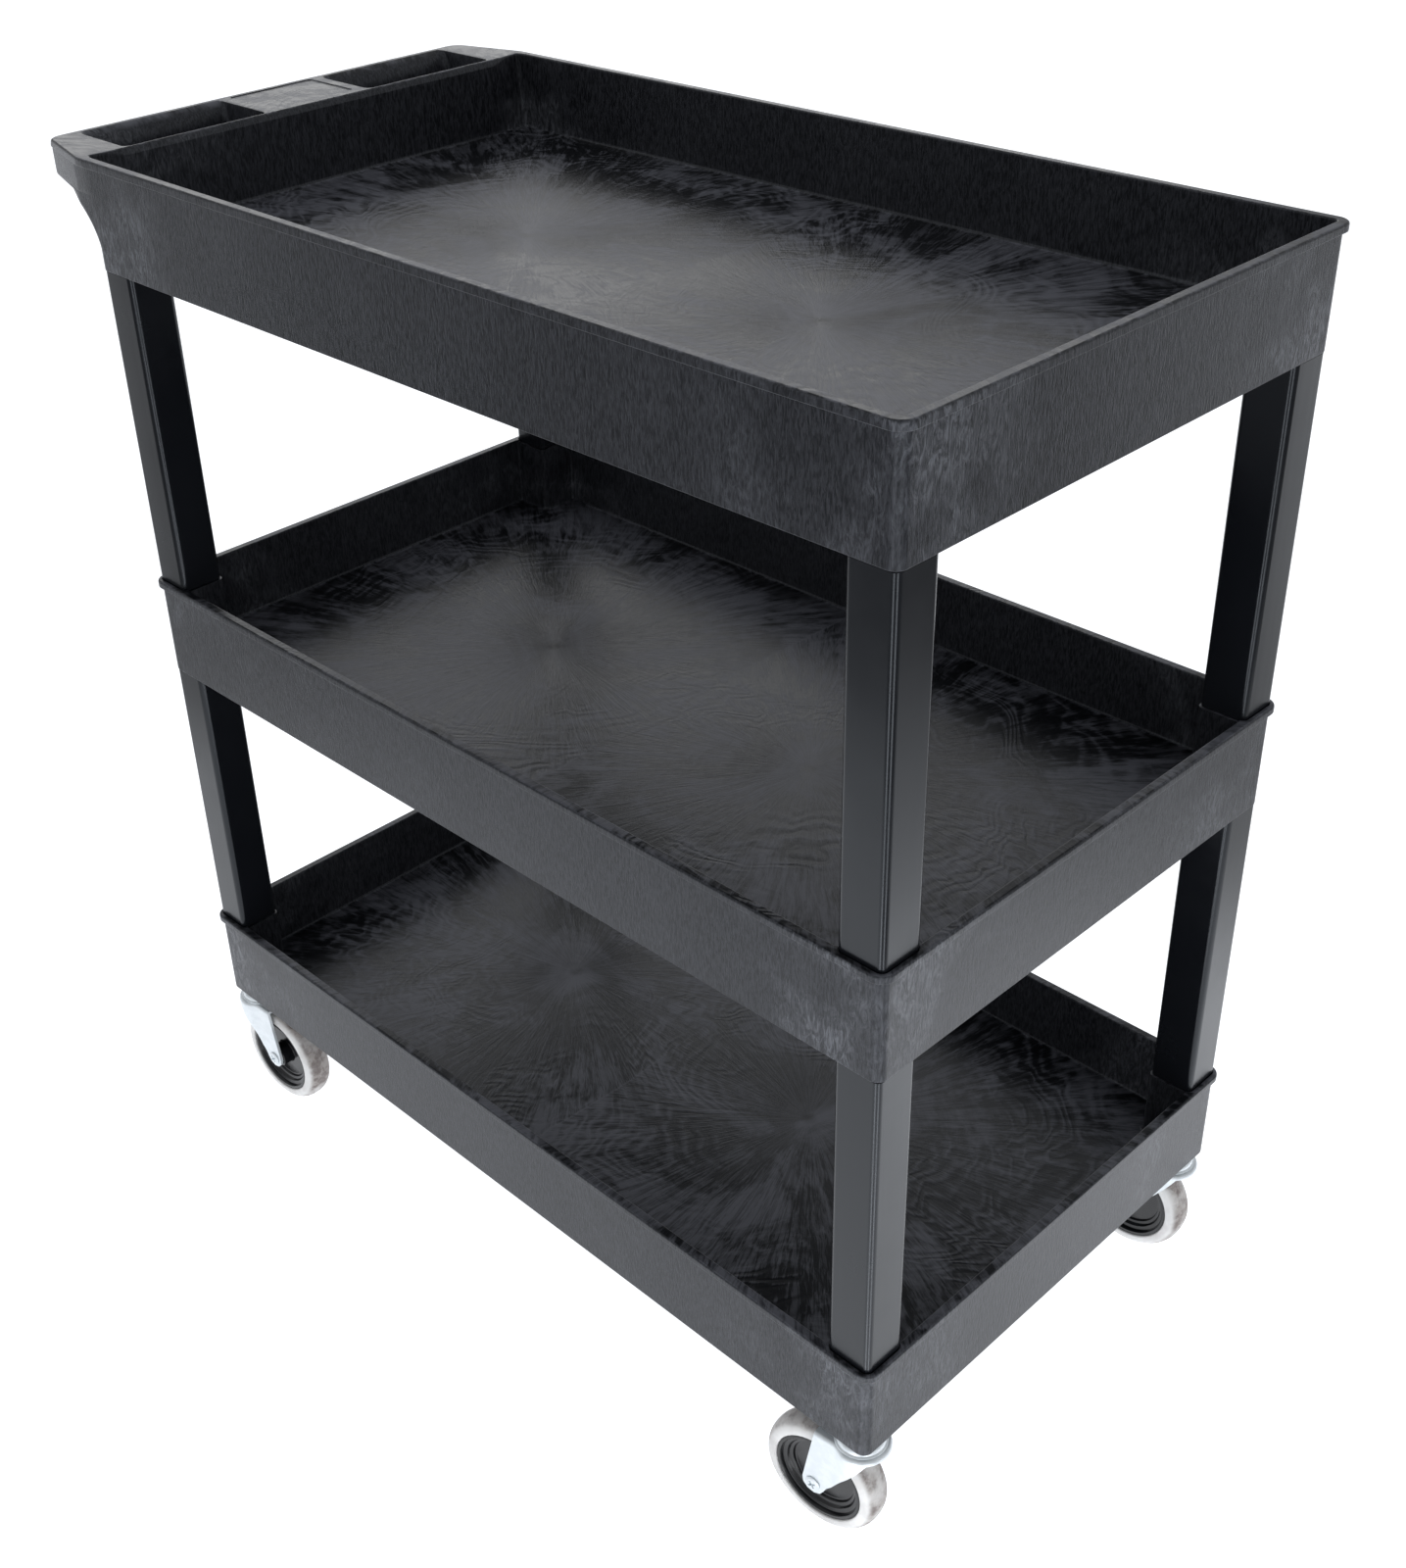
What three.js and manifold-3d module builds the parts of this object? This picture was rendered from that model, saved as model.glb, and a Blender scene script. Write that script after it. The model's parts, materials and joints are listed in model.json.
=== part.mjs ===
// A three-shelf tool cart on four swivel casters, as an assembly of separate pieces.
//
// Millimetres. +X points to the front, away from the push handle; +Y to the left; +Z up.
// The origin is on the floor, under the middle of the whole cart.
// Three moulded trays stand on eight square legs. Each tray carries pegs that the hollow
// legs slide over, and the bottom tray has a bored post at each corner for a caster stem.

import * as THREE from 'three';
import { mergeVertices } from 'three/addons/utils/BufferGeometryUtils.js';
import Module from 'manifold-3d';

const wasm = await Module();
wasm.setup();

// ---------------------------------------------------------------- driving dimensions

const GAP = 0.3; // clearance left between pieces that touch
const OVERRUN = 1; // how far a cutter runs past the face that it opens

const TRAY_LENGTH = 817.6; // over the lip
const TRAY_WIDTH = 457.2; // over the lip
const LIP_OVERHANG = 3.5; // the lip stands out this far from the wall below it
const LIP_HEIGHT = 6.5;
const TRAY_CORNER_RADIUS = 12;
const WALL = 4.6;
const FLOOR_THICKNESS = 4.5;
const TRAY_DEPTH = 88; // from the lip to the bottom edge of the skirt
const FLOOR_DEPTH = 64.5; // from the lip to the floor of the tray

const TOP_LIP_Z = 922.3;
const MIDDLE_LIP_Z = 562.6;
const BOTTOM_LIP_Z = 205.7;

const RIB_THICKNESS = 4;
const RIB_HEIGHT = 12;
const CROSS_RIB_COUNT = 3;
const LONG_RIB_COUNT = 2;

const LEG_SIZE = 38.1;
const LEG_WALL = 3.2;
const LEG_CORNER_RADIUS = 5;
const LEG_OUTER_X = 404.2; // outer faces of the legs, from the middle of the tray
const LEG_OUTER_Y = 223.7;
const LEG_SEAT_DROP = 2; // a leg's foot stands this far below the lip

const POST_MARGIN = 1; // a corner post is this much larger than the leg on its inner sides
const PEG_SIZE = LEG_SIZE - 2 * LEG_WALL - 2 * GAP;
const PEG_LENGTH = 45;
const PEG_BORE = 22;

const HANDLE_REACH = 486.55; // outer face of the handle, from the middle of the tray
const HANDLE_THICKNESS = 28.5;
const HANDLE_LIP_OVERHANG = 0.8; // the lip stands out less on the handle than on the tray
const HANDLE_EDGE_RADIUS = 6;
const HANDLE_TIP_RADIUS = 14;
const HANDLE_TIP_HALF_WIDTH = 212;
const HANDLE_TAPER = 0.25; // angle of the handle's tapering sides, in radians
const HANDLE_COVE_START = 442; // where the underside starts to curve down to the wall
const HANDLE_COVE_DEPTH = 70;
const HANDLE_COVE_BULGE = 6.7; // how far the cove's control point stands off the wall
const HAND_HOLE_INNER_X = 405.3; // flush with the outside of the tray's wall
const HAND_HOLE_OUTER_X = 465;
const HAND_HOLE_RADIUS = 6;
const HAND_HOLE_END_Y = 186;
const WEB_HALF_WIDTH = 52.5;
const CORNER_POCKET_DEPTH = 3;
const CORNER_POCKET_WIDTH = 34;

const WHEEL_RADIUS = 50.8;
const TREAD_INNER_RADIUS = 38.9;
const TREAD_HALF_WIDTH = 13.6;
const TREAD_SHOULDER = 5; // the tread curves over within this depth of its crown
const HUB_RIM_HALF_WIDTH = 11.6;
const HUB_WEB_HALF_WIDTH = 3;
const HUB_BOSS_HALF_LENGTH = 15.2;
const HUB_BOSS_RADIUS = 11;
const HUB_BORE_RADIUS = 6.6;
const HUB_WELL_RADIUS = 33;
const CASTER_TRAIL = 30; // from the swivel axis to the axle

const FORK_INNER = 15.8; // inner face of a fork leg, from the middle of the wheel
const FORK_PLATE = 2.8;
const FORK_TIP_RADIUS = 10;
const FORK_CROWN_RADIUS = 23.4;
const FORK_CROWN_TOP = 107.4;
const AXLE_RADIUS = 4;
const AXLE_HEAD_RADIUS = 6.5;
const AXLE_HEAD_HEIGHT = 1.8;
const AXLE_END_PAST_NUT = 1.2;
const NUT_RADIUS = 7.2;
const NUT_HEIGHT = 5;

const STEM_RADIUS = 5.5;
const STEM_TOP_Z = 162;
const STEM_RIVET_RADIUS = 8;
const STEM_RIVET_Z = 99.8;
const RACEWAY_RADIUS = 20.4;
const RACEWAY_PLATE = 2;
const BALL_RACE_INNER_RADIUS = 9;
const BALL_RACE_OUTER_RADIUS = 15.5;
const BALL_RACE_HEIGHT = 4.4;
const SOCKET_RADIUS = 9.5;
const SOCKET_FLANGE_RADIUS = 15;
const SOCKET_FLANGE_THICKNESS = 1.4;
const SOCKET_HEIGHT = 46;

// Each corner of the cart, and the way its wheel trails from the swivel axis.
const CORNERS = [
  { name: 'front_right', x: 1, y: -1, heading: 186, boltSide: 1 },
  { name: 'front_left', x: 1, y: 1, heading: 183, boltSide: 1 },
  { name: 'rear_right', x: -1, y: -1, heading: 3, boltSide: -1 },
  { name: 'rear_left', x: -1, y: 1, heading: 356, boltSide: 1 },
];

// ---------------------------------------------------------------- derived sizes

const TRAY_CENTRE_X = (HANDLE_REACH - TRAY_LENGTH / 2) / 2;
const BODY_LENGTH = TRAY_LENGTH - 2 * LIP_OVERHANG;
const BODY_WIDTH = TRAY_WIDTH - 2 * LIP_OVERHANG;
const LEG_X = LEG_OUTER_X - LEG_SIZE / 2;
const LEG_Y = LEG_OUTER_Y - LEG_SIZE / 2;
const TRAY_BOTTOM_Z = BOTTOM_LIP_Z - TRAY_DEPTH;
const RACEWAY_TOP_Z = TRAY_BOTTOM_Z - SOCKET_FLANGE_THICKNESS - 2 * GAP;

// ---------------------------------------------------------------- materials

const MATERIALS = {
  tray: { color: 0x2b2c2e, roughness: 0.55, metalness: 0 },
  leg: { color: 0x35373a, roughness: 0.4, metalness: 0 },
  socket: { color: 0x202124, roughness: 0.5, metalness: 0 },
  zinc: { color: 0xc9d0d3, roughness: 0.3, metalness: 1 },
  steel: { color: 0x9a9da1, roughness: 0.35, metalness: 1 },
  hub: { color: 0x141517, roughness: 0.25, metalness: 0 },
  tread: { color: 0xb9b6ae, roughness: 0.6, metalness: 0 },
};

// ---------------------------------------------------------------- geometry helpers

/** A closed geometry as a solid that can be joined and cut. */
function solid(geometry) {
  const bare = geometry.index ? geometry.toNonIndexed() : geometry.clone();
  bare.deleteAttribute('normal');
  bare.deleteAttribute('uv');
  const merged = mergeVertices(bare, 1e-4);
  return new wasm.Manifold(new wasm.Mesh({
    numProp: 3,
    vertProperties: new Float32Array(merged.attributes.position.array),
    triVerts: new Uint32Array(merged.index.array),
  }));
}

/** A named mesh made from a solid. */
function piece(name, body, material) {
  const { vertProperties, triVerts } = body.getMesh();
  const geometry = new THREE.BufferGeometry();
  geometry.setAttribute('position', new THREE.BufferAttribute(vertProperties, 3));
  geometry.setIndex(new THREE.BufferAttribute(triVerts, 1));
  geometry.computeVertexNormals();
  const mesh = new THREE.Mesh(geometry, new THREE.MeshStandardMaterial(MATERIALS[material]));
  mesh.name = name;
  return mesh;
}

/** A rounded rectangle in the XY plane, from its centre, its size and its corner radius. */
function roundedRectangle(cx, cy, length, width, radius) {
  const [x0, x1] = [cx - length / 2, cx + length / 2];
  const [y0, y1] = [cy - width / 2, cy + width / 2];
  const shape = new THREE.Shape();
  shape.moveTo(x0 + radius, y0);
  shape.lineTo(x1 - radius, y0);
  shape.absarc(x1 - radius, y0 + radius, radius, -Math.PI / 2, 0);
  shape.lineTo(x1, y1 - radius);
  shape.absarc(x1 - radius, y1 - radius, radius, 0, Math.PI / 2);
  shape.lineTo(x0 + radius, y1);
  shape.absarc(x0 + radius, y1 - radius, radius, Math.PI / 2, Math.PI);
  shape.lineTo(x0, y0 + radius);
  shape.absarc(x0 + radius, y0 + radius, radius, Math.PI, Math.PI * 1.5);
  return shape;
}

/** An upright prism on a shape in the XY plane, with its arcs cut into curveSegments. */
function prism(shape, zLow, zHigh, curveSegments = 3) {
  const geometry = new THREE.ExtrudeGeometry(shape, {
    depth: zHigh - zLow,
    bevelEnabled: false,
    curveSegments,
  });
  geometry.translate(0, 0, zLow);
  return solid(geometry);
}

/** A square-cornered block between two corners. */
function block(x0, x1, y0, y1, z0, z1) {
  const geometry = new THREE.BoxGeometry(x1 - x0, y1 - y0, z1 - z0);
  geometry.translate((x0 + x1) / 2, (y0 + y1) / 2, (z0 + z1) / 2);
  return solid(geometry);
}

/** A solid of revolution about Z, from [radius, height] pairs that close on themselves. */
function turned(outline, sides) {
  const points = outline.map(([radius, height]) => new THREE.Vector2(radius, height));
  points.push(points[0].clone());
  const geometry = new THREE.LatheGeometry(points, sides);
  geometry.rotateX(Math.PI / 2);
  return solid(geometry);
}

/** The same, with its axis laid along Y. */
function turnedAlongY(outline, sides) {
  return turned(outline, sides).rotate([-90, 0, 0]);
}

// ---------------------------------------------------------------- trays

/** The square posts, pegs and bores at one corner of a tray. Heights are from the lip. */
function addCorner(tray, corner, { pegUp, pegDown, casterBore }) {
  const x = corner.x * LEG_X;
  const y = corner.y * LEG_Y;
  const postSize = LEG_SIZE + 2 * POST_MARGIN;
  const reach = 2.5 * POST_MARGIN;
  const postTop = pegUp ? -LEG_SEAT_DROP : -FLOOR_DEPTH;
  const outline = roundedRectangle(x, y, postSize, postSize, LEG_CORNER_RADIUS);
  const inside = roundedRectangle(0, 0, BODY_LENGTH - reach, BODY_WIDTH - reach, TRAY_CORNER_RADIUS);
  let result = tray.add(prism(outline, -TRAY_DEPTH, postTop).intersect(prism(inside, -TRAY_DEPTH, 0)));
  const peg = roundedRectangle(x, y, PEG_SIZE, PEG_SIZE, LEG_CORNER_RADIUS - LEG_WALL);
  const bore = roundedRectangle(x, y, PEG_BORE, PEG_BORE, 2);
  const pegTop = -LEG_SEAT_DROP + PEG_LENGTH;
  const pegFoot = -TRAY_DEPTH - PEG_LENGTH;
  if (pegUp) {
    const seat = roundedRectangle(x, y, LEG_SIZE + 2 * GAP, LEG_SIZE + 2 * GAP, LEG_CORNER_RADIUS);
    result = result
      .subtract(prism(seat, -LEG_SEAT_DROP, OVERRUN))
      .add(prism(peg, postTop - OVERRUN, pegTop, 1));
  }
  if (pegDown) {
    result = result.add(prism(peg, pegFoot, -TRAY_DEPTH + OVERRUN, 1));
  }
  if (pegUp && pegDown) {
    result = result.subtract(prism(bore, pegFoot - OVERRUN, pegTop + OVERRUN, 1));
  } else if (pegDown) {
    result = result.subtract(prism(bore, pegFoot - OVERRUN, -FLOOR_DEPTH - FLOOR_THICKNESS, 1));
  } else {
    result = result.subtract(prism(bore, -LEG_SEAT_DROP - PEG_LENGTH / 4, pegTop + OVERRUN, 1));
  }
  if (casterBore) {
    const radius = SOCKET_RADIUS + GAP;
    const ceiling = -TRAY_DEPTH + SOCKET_HEIGHT + 2 * GAP;
    const cutter = new THREE.CylinderGeometry(radius, radius, SOCKET_HEIGHT + OVERRUN, 14);
    cutter.rotateX(Math.PI / 2);
    cutter.translate(x, y, ceiling - (SOCKET_HEIGHT + OVERRUN) / 2);
    result = result.subtract(solid(cutter));
  }
  return result;
}

/** Stiffening ribs under the floor, between the corner blocks. */
function addRibs(tray) {
  const top = -FLOOR_DEPTH - FLOOR_THICKNESS + OVERRUN;
  const low = top - OVERRUN - RIB_HEIGHT;
  const halfLength = BODY_LENGTH / 2 - WALL + OVERRUN;
  const halfWidth = BODY_WIDTH / 2 - WALL + OVERRUN;
  let result = tray;
  for (let i = 1; i <= CROSS_RIB_COUNT; i += 1) {
    const x = -halfLength + (2 * halfLength * i) / (CROSS_RIB_COUNT + 1);
    result = result.add(
      block(x - RIB_THICKNESS / 2, x + RIB_THICKNESS / 2, -halfWidth, halfWidth, low, top),
    );
  }
  for (let i = 1; i <= LONG_RIB_COUNT; i += 1) {
    const y = -halfWidth + (2 * halfWidth * i) / (LONG_RIB_COUNT + 1);
    result = result.add(
      block(-halfLength, halfLength, y - RIB_THICKNESS / 2, y + RIB_THICKNESS / 2, low, top),
    );
  }
  return result;
}

/** A tub with a rolled lip, a floor and a skirt below it. The lip is at height 0. */
function tub() {
  const outer = roundedRectangle(0, 0, BODY_LENGTH, BODY_WIDTH, TRAY_CORNER_RADIUS - LIP_OVERHANG);
  const lip = roundedRectangle(0, 0, TRAY_LENGTH, TRAY_WIDTH, TRAY_CORNER_RADIUS);
  const inner = roundedRectangle(0, 0, BODY_LENGTH - 2 * WALL, BODY_WIDTH - 2 * WALL, 5);
  return prism(outer, -TRAY_DEPTH, 0)
    .add(prism(lip, -LIP_HEIGHT, 0))
    .subtract(prism(inner, -FLOOR_DEPTH, OVERRUN))
    .subtract(prism(inner, -TRAY_DEPTH - OVERRUN, -FLOOR_DEPTH - FLOOR_THICKNESS));
}

/**
 * The handle's outline seen from above, drawn in from the lip's own edge by an inset.
 * Beside the tray it is drawn in by rootInset, so that it runs on from the tray's side.
 */
function handlePlan(inset, rootInset) {
  const wallX = -(BODY_LENGTH / 2 - WALL / 2);
  const tipX = -HANDLE_REACH + HANDLE_TIP_RADIUS;
  const tipY = HANDLE_TIP_HALF_WIDTH - HANDLE_TIP_RADIUS;
  const tipRadius = HANDLE_TIP_RADIUS - inset;
  const halfWidth = TRAY_WIDTH / 2 - rootInset;
  const taperX = -TRAY_LENGTH / 2 - (rootInset - inset) / Math.tan(HANDLE_TAPER);
  const tangent = Math.PI / 2 + HANDLE_TAPER;
  const plan = new THREE.Shape();
  plan.moveTo(wallX, -halfWidth);
  plan.lineTo(taperX, -halfWidth);
  plan.absarc(tipX, -tipY, tipRadius, -tangent, -Math.PI, true);
  plan.absarc(tipX, tipY, tipRadius, Math.PI, tangent, true);
  plan.lineTo(taperX, halfWidth);
  plan.lineTo(wallX, halfWidth);
  return plan;
}

/** The handle's section along the cart, run across the whole width of the tray. */
function handleSection() {
  const wallX = -(BODY_LENGTH / 2 - WALL / 2);
  const faceX = -BODY_LENGTH / 2;
  const edgeX = -HANDLE_REACH + HANDLE_EDGE_RADIUS;
  const section = new THREE.Shape();
  section.moveTo(wallX, 0);
  section.lineTo(edgeX, 0);
  section.absarc(edgeX, -HANDLE_EDGE_RADIUS, HANDLE_EDGE_RADIUS, Math.PI / 2, Math.PI);
  section.lineTo(-HANDLE_REACH, -HANDLE_THICKNESS);
  section.lineTo(-HANDLE_COVE_START, -HANDLE_THICKNESS - 1);
  section.quadraticCurveTo(
    faceX - HANDLE_COVE_BULGE, -HANDLE_COVE_DEPTH * 0.68,
    faceX, -HANDLE_COVE_DEPTH,
  );
  section.lineTo(wallX, -HANDLE_COVE_DEPTH);
  const geometry = new THREE.ExtrudeGeometry(section, {
    depth: TRAY_WIDTH,
    bevelEnabled: false,
    curveSegments: 5,
  });
  geometry.rotateX(Math.PI / 2);
  geometry.translate(0, TRAY_WIDTH / 2, 0);
  return solid(geometry);
}

/** The moulded push handle at the rear of the top tray, before its hand holes are cut. */
function handle() {
  const bodyPlan = handlePlan(HANDLE_LIP_OVERHANG, LIP_OVERHANG);
  const lip = prism(handlePlan(0, 0), -LIP_HEIGHT, 0);
  const body = prism(bodyPlan, -HANDLE_COVE_DEPTH - OVERRUN, -LIP_HEIGHT + OVERRUN);
  return handleSection().intersect(lip.add(body));
}

/** One hand hole, right through the handle beside the web. */
function handHole(end) {
  const holeLength = HAND_HOLE_OUTER_X - HAND_HOLE_INNER_X;
  const holeWidth = HAND_HOLE_END_Y - WEB_HALF_WIDTH;
  const hole = roundedRectangle(
    -(HAND_HOLE_OUTER_X + HAND_HOLE_INNER_X) / 2, (end * (HAND_HOLE_END_Y + WEB_HALF_WIDTH)) / 2,
    holeLength, holeWidth, HAND_HOLE_RADIUS,
  );
  return prism(hole, -HANDLE_COVE_DEPTH - OVERRUN, OVERRUN);
}

/** The shallow triangular pocket in the rear wall at each rear corner of the top tray. */
function cornerPocket(end) {
  const innerY = BODY_WIDTH / 2 - WALL - OVERRUN;
  const outline = new THREE.Shape();
  outline.moveTo(innerY, OVERRUN);
  outline.lineTo(innerY - CORNER_POCKET_WIDTH, OVERRUN);
  outline.lineTo(innerY, -FLOOR_DEPTH);
  const geometry = new THREE.ExtrudeGeometry(outline, {
    depth: CORNER_POCKET_DEPTH + OVERRUN,
    bevelEnabled: false,
  });
  // the outline's own x becomes Y and its y becomes Z
  geometry.rotateX(Math.PI / 2);
  geometry.rotateZ(Math.PI / 2);
  const wallFace = -(BODY_LENGTH / 2 - WALL);
  geometry.translate(wallFace - CORNER_POCKET_DEPTH, 0, 0);
  const pocket = solid(geometry);
  return end > 0 ? pocket : pocket.mirror([0, 1, 0]);
}

function makeTray(name, lipZ, fittings, extras = (tray) => tray) {
  let tray = extras(addRibs(tub()));
  for (const corner of CORNERS) {
    tray = addCorner(tray, corner, fittings);
  }
  const mesh = piece(name, tray, 'tray');
  mesh.position.set(TRAY_CENTRE_X, 0, lipZ);
  return mesh;
}

function makeTopTray() {
  const withHandle = (tray) => tray
    .add(handle())
    .subtract(handHole(1))
    .subtract(handHole(-1))
    .subtract(cornerPocket(1))
    .subtract(cornerPocket(-1));
  return makeTray('top_tray', TOP_LIP_Z, { pegDown: true }, withHandle);
}

// ---------------------------------------------------------------- legs

/** A hollow square leg between the seat of a lower tray and the skirt of the one above. */
function makeLeg(level, corner, lowerLipZ, upperLipZ) {
  const foot = lowerLipZ - LEG_SEAT_DROP + GAP;
  const head = upperLipZ - TRAY_DEPTH - GAP;
  const bore = LEG_SIZE - 2 * LEG_WALL;
  const outside = roundedRectangle(0, 0, LEG_SIZE, LEG_SIZE, LEG_CORNER_RADIUS);
  const inside = roundedRectangle(0, 0, bore, bore, LEG_CORNER_RADIUS - LEG_WALL);
  const tube = prism(outside, 0, head - foot)
    .subtract(prism(inside, -OVERRUN, head - foot + OVERRUN, 1));
  const mesh = piece(`${level}_leg_${corner.name}`, tube, 'leg');
  mesh.position.set(TRAY_CENTRE_X + corner.x * LEG_X, corner.y * LEG_Y, foot);
  return mesh;
}

// ---------------------------------------------------------------- caster, fixed pieces
// Each caster is built on its own swivel axis, with the floor at height 0.

/** The flanged sleeve pressed into the bottom tray, which grips the stem. */
function stemSocket() {
  const low = TRAY_BOTTOM_Z - SOCKET_FLANGE_THICKNESS - GAP;
  const seat = TRAY_BOTTOM_Z - GAP;
  const top = TRAY_BOTTOM_Z + SOCKET_HEIGHT;
  const bore = STEM_RADIUS + GAP;
  return turned([
    [bore, low], [SOCKET_FLANGE_RADIUS, low], [SOCKET_FLANGE_RADIUS, seat],
    [SOCKET_RADIUS, seat], [SOCKET_RADIUS, top], [bore, top],
  ], 14);
}

/** The stem, which is also the king pin: its riveted head holds the fork from below. */
function casterStem() {
  const headTop = FORK_CROWN_TOP - FORK_PLATE - GAP;
  return turned([
    [0, STEM_RIVET_Z], [STEM_RIVET_RADIUS - 2, STEM_RIVET_Z], [STEM_RIVET_RADIUS, STEM_RIVET_Z + 2],
    [STEM_RIVET_RADIUS, headTop], [STEM_RADIUS, headTop], [STEM_RADIUS, STEM_TOP_Z - 2],
    [STEM_RADIUS - 2, STEM_TOP_Z], [0, STEM_TOP_Z],
  ], 14);
}

/** The dished upper raceway, an inverted cup over the ball race. */
function raceway() {
  const rim = FORK_CROWN_TOP + GAP;
  const bore = STEM_RADIUS + GAP;
  const inside = RACEWAY_TOP_Z - RACEWAY_PLATE;
  return turned([
    [RACEWAY_RADIUS, rim], [RACEWAY_RADIUS, RACEWAY_TOP_Z - 3], [RACEWAY_RADIUS - 3, RACEWAY_TOP_Z],
    [bore, RACEWAY_TOP_Z], [bore, inside], [RACEWAY_RADIUS - RACEWAY_PLATE, inside],
    [RACEWAY_RADIUS - RACEWAY_PLATE, rim],
  ], 16);
}

/** The caged ring of balls between the raceway and the fork's crown. */
function ballRace() {
  const low = FORK_CROWN_TOP + GAP;
  const high = low + BALL_RACE_HEIGHT;
  return turned([
    [BALL_RACE_INNER_RADIUS, low], [BALL_RACE_OUTER_RADIUS, low],
    [BALL_RACE_OUTER_RADIUS, high], [BALL_RACE_INNER_RADIUS, high],
  ], 16);
}

// ---------------------------------------------------------------- caster, fork and axle
// The wheel trails along the caster's own +X. The axle lies along Y.

/** One side of the fork: a plate that narrows from the crown to a rounded tip. */
function forkLeg(side) {
  const top = FORK_CROWN_TOP - FORK_PLATE;
  const outline = new THREE.Shape();
  outline.moveTo(-13, top + 0.5);
  outline.lineTo(-11, top - 6);
  outline.absarc(CASTER_TRAIL, WHEEL_RADIUS, FORK_TIP_RADIUS, Math.PI * 1.16, Math.PI * 2.03);
  outline.lineTo(30, top + 0.5);
  const geometry = new THREE.ExtrudeGeometry(outline, {
    depth: FORK_PLATE,
    bevelEnabled: false,
    curveSegments: 5,
  });
  geometry.rotateX(Math.PI / 2);
  geometry.translate(0, side > 0 ? FORK_INNER + FORK_PLATE : -FORK_INNER, 0);
  return solid(geometry);
}

/** The stamped fork: a crown bored for the stem, flat behind it, and two legs bored for the axle. */
function fork() {
  const top = FORK_CROWN_TOP;
  const underside = top - FORK_PLATE;
  const bore = STEM_RADIUS + GAP;
  const face = FORK_INNER + FORK_PLATE;
  const bridge = block(FORK_CROWN_RADIUS / 2, CASTER_TRAIL, -face + OVERRUN, face - OVERRUN, underside, top);
  const crown = turned([
    [bore, underside], [FORK_CROWN_RADIUS, underside], [FORK_CROWN_RADIUS, underside + 0.8],
    [FORK_CROWN_RADIUS - 3, top], [bore, top],
  ], 20);
  const hole = AXLE_RADIUS + GAP;
  const halfWidth = face + OVERRUN;
  const drill = turnedAlongY([[0, -halfWidth], [hole, -halfWidth], [hole, halfWidth], [0, halfWidth]], 10)
    .translate([CASTER_TRAIL, 0, WHEEL_RADIUS]);
  return crown.add(bridge).add(forkLeg(1)).add(forkLeg(-1)).subtract(drill);
}

/** The axle bolt, with a low round head outside one fork leg. */
function axleBolt() {
  const headInner = FORK_INNER + FORK_PLATE + GAP;
  const end = -(FORK_INNER + FORK_PLATE + GAP + NUT_HEIGHT + AXLE_END_PAST_NUT);
  return turnedAlongY([
    [0, end], [AXLE_RADIUS, end], [AXLE_RADIUS, headInner], [AXLE_HEAD_RADIUS, headInner],
    [AXLE_HEAD_RADIUS - 1, headInner + AXLE_HEAD_HEIGHT], [0, headInner + AXLE_HEAD_HEIGHT],
  ], 12);
}

/** The hexagonal nut outside the other fork leg. */
function axleNut() {
  const inner = -(FORK_INNER + FORK_PLATE + GAP);
  const outer = inner - NUT_HEIGHT;
  const bore = AXLE_RADIUS + GAP;
  const hexagon = turnedAlongY([[0, outer], [NUT_RADIUS, outer], [NUT_RADIUS, inner], [0, inner]], 6);
  const drill = turnedAlongY([
    [0, outer - OVERRUN], [bore, outer - OVERRUN], [bore, inner + OVERRUN], [0, inner + OVERRUN],
  ], 12);
  return hexagon.subtract(drill);
}

/** The sleeve that the hub turns on, clamped between the fork legs. */
function axleSleeve() {
  const half = FORK_INNER - GAP;
  const [bore, outside] = [AXLE_RADIUS + GAP, HUB_BORE_RADIUS - GAP];
  return turnedAlongY([[bore, -half], [outside, -half], [outside, half], [bore, half]], 12);
}

// ---------------------------------------------------------------- caster, wheel

/** The hub: a boss, a thin web and a deep rim. */
function wheelHub() {
  const rim = TREAD_INNER_RADIUS - GAP;
  const half = [
    [HUB_BORE_RADIUS, HUB_BOSS_HALF_LENGTH], [HUB_BOSS_RADIUS, HUB_BOSS_HALF_LENGTH],
    [HUB_BOSS_RADIUS, HUB_WEB_HALF_WIDTH], [HUB_WELL_RADIUS, HUB_WEB_HALF_WIDTH],
    [HUB_WELL_RADIUS + 2, HUB_RIM_HALF_WIDTH], [rim, HUB_RIM_HALF_WIDTH],
  ];
  const mirrored = half.map(([radius, along]) => [radius, -along]).reverse();
  return turnedAlongY([...mirrored, ...half].reverse(), 24);
}

/** The soft tread, a ring with a round crown. */
function wheelTread() {
  const shoulder = WHEEL_RADIUS - TREAD_SHOULDER;
  const crown = TREAD_HALF_WIDTH * 0.5;
  return turnedAlongY([
    [TREAD_INNER_RADIUS, -TREAD_HALF_WIDTH], [shoulder, -TREAD_HALF_WIDTH],
    [WHEEL_RADIUS, -crown], [WHEEL_RADIUS, crown],
    [shoulder, TREAD_HALF_WIDTH], [TREAD_INNER_RADIUS, TREAD_HALF_WIDTH],
  ], 32);
}

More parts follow.
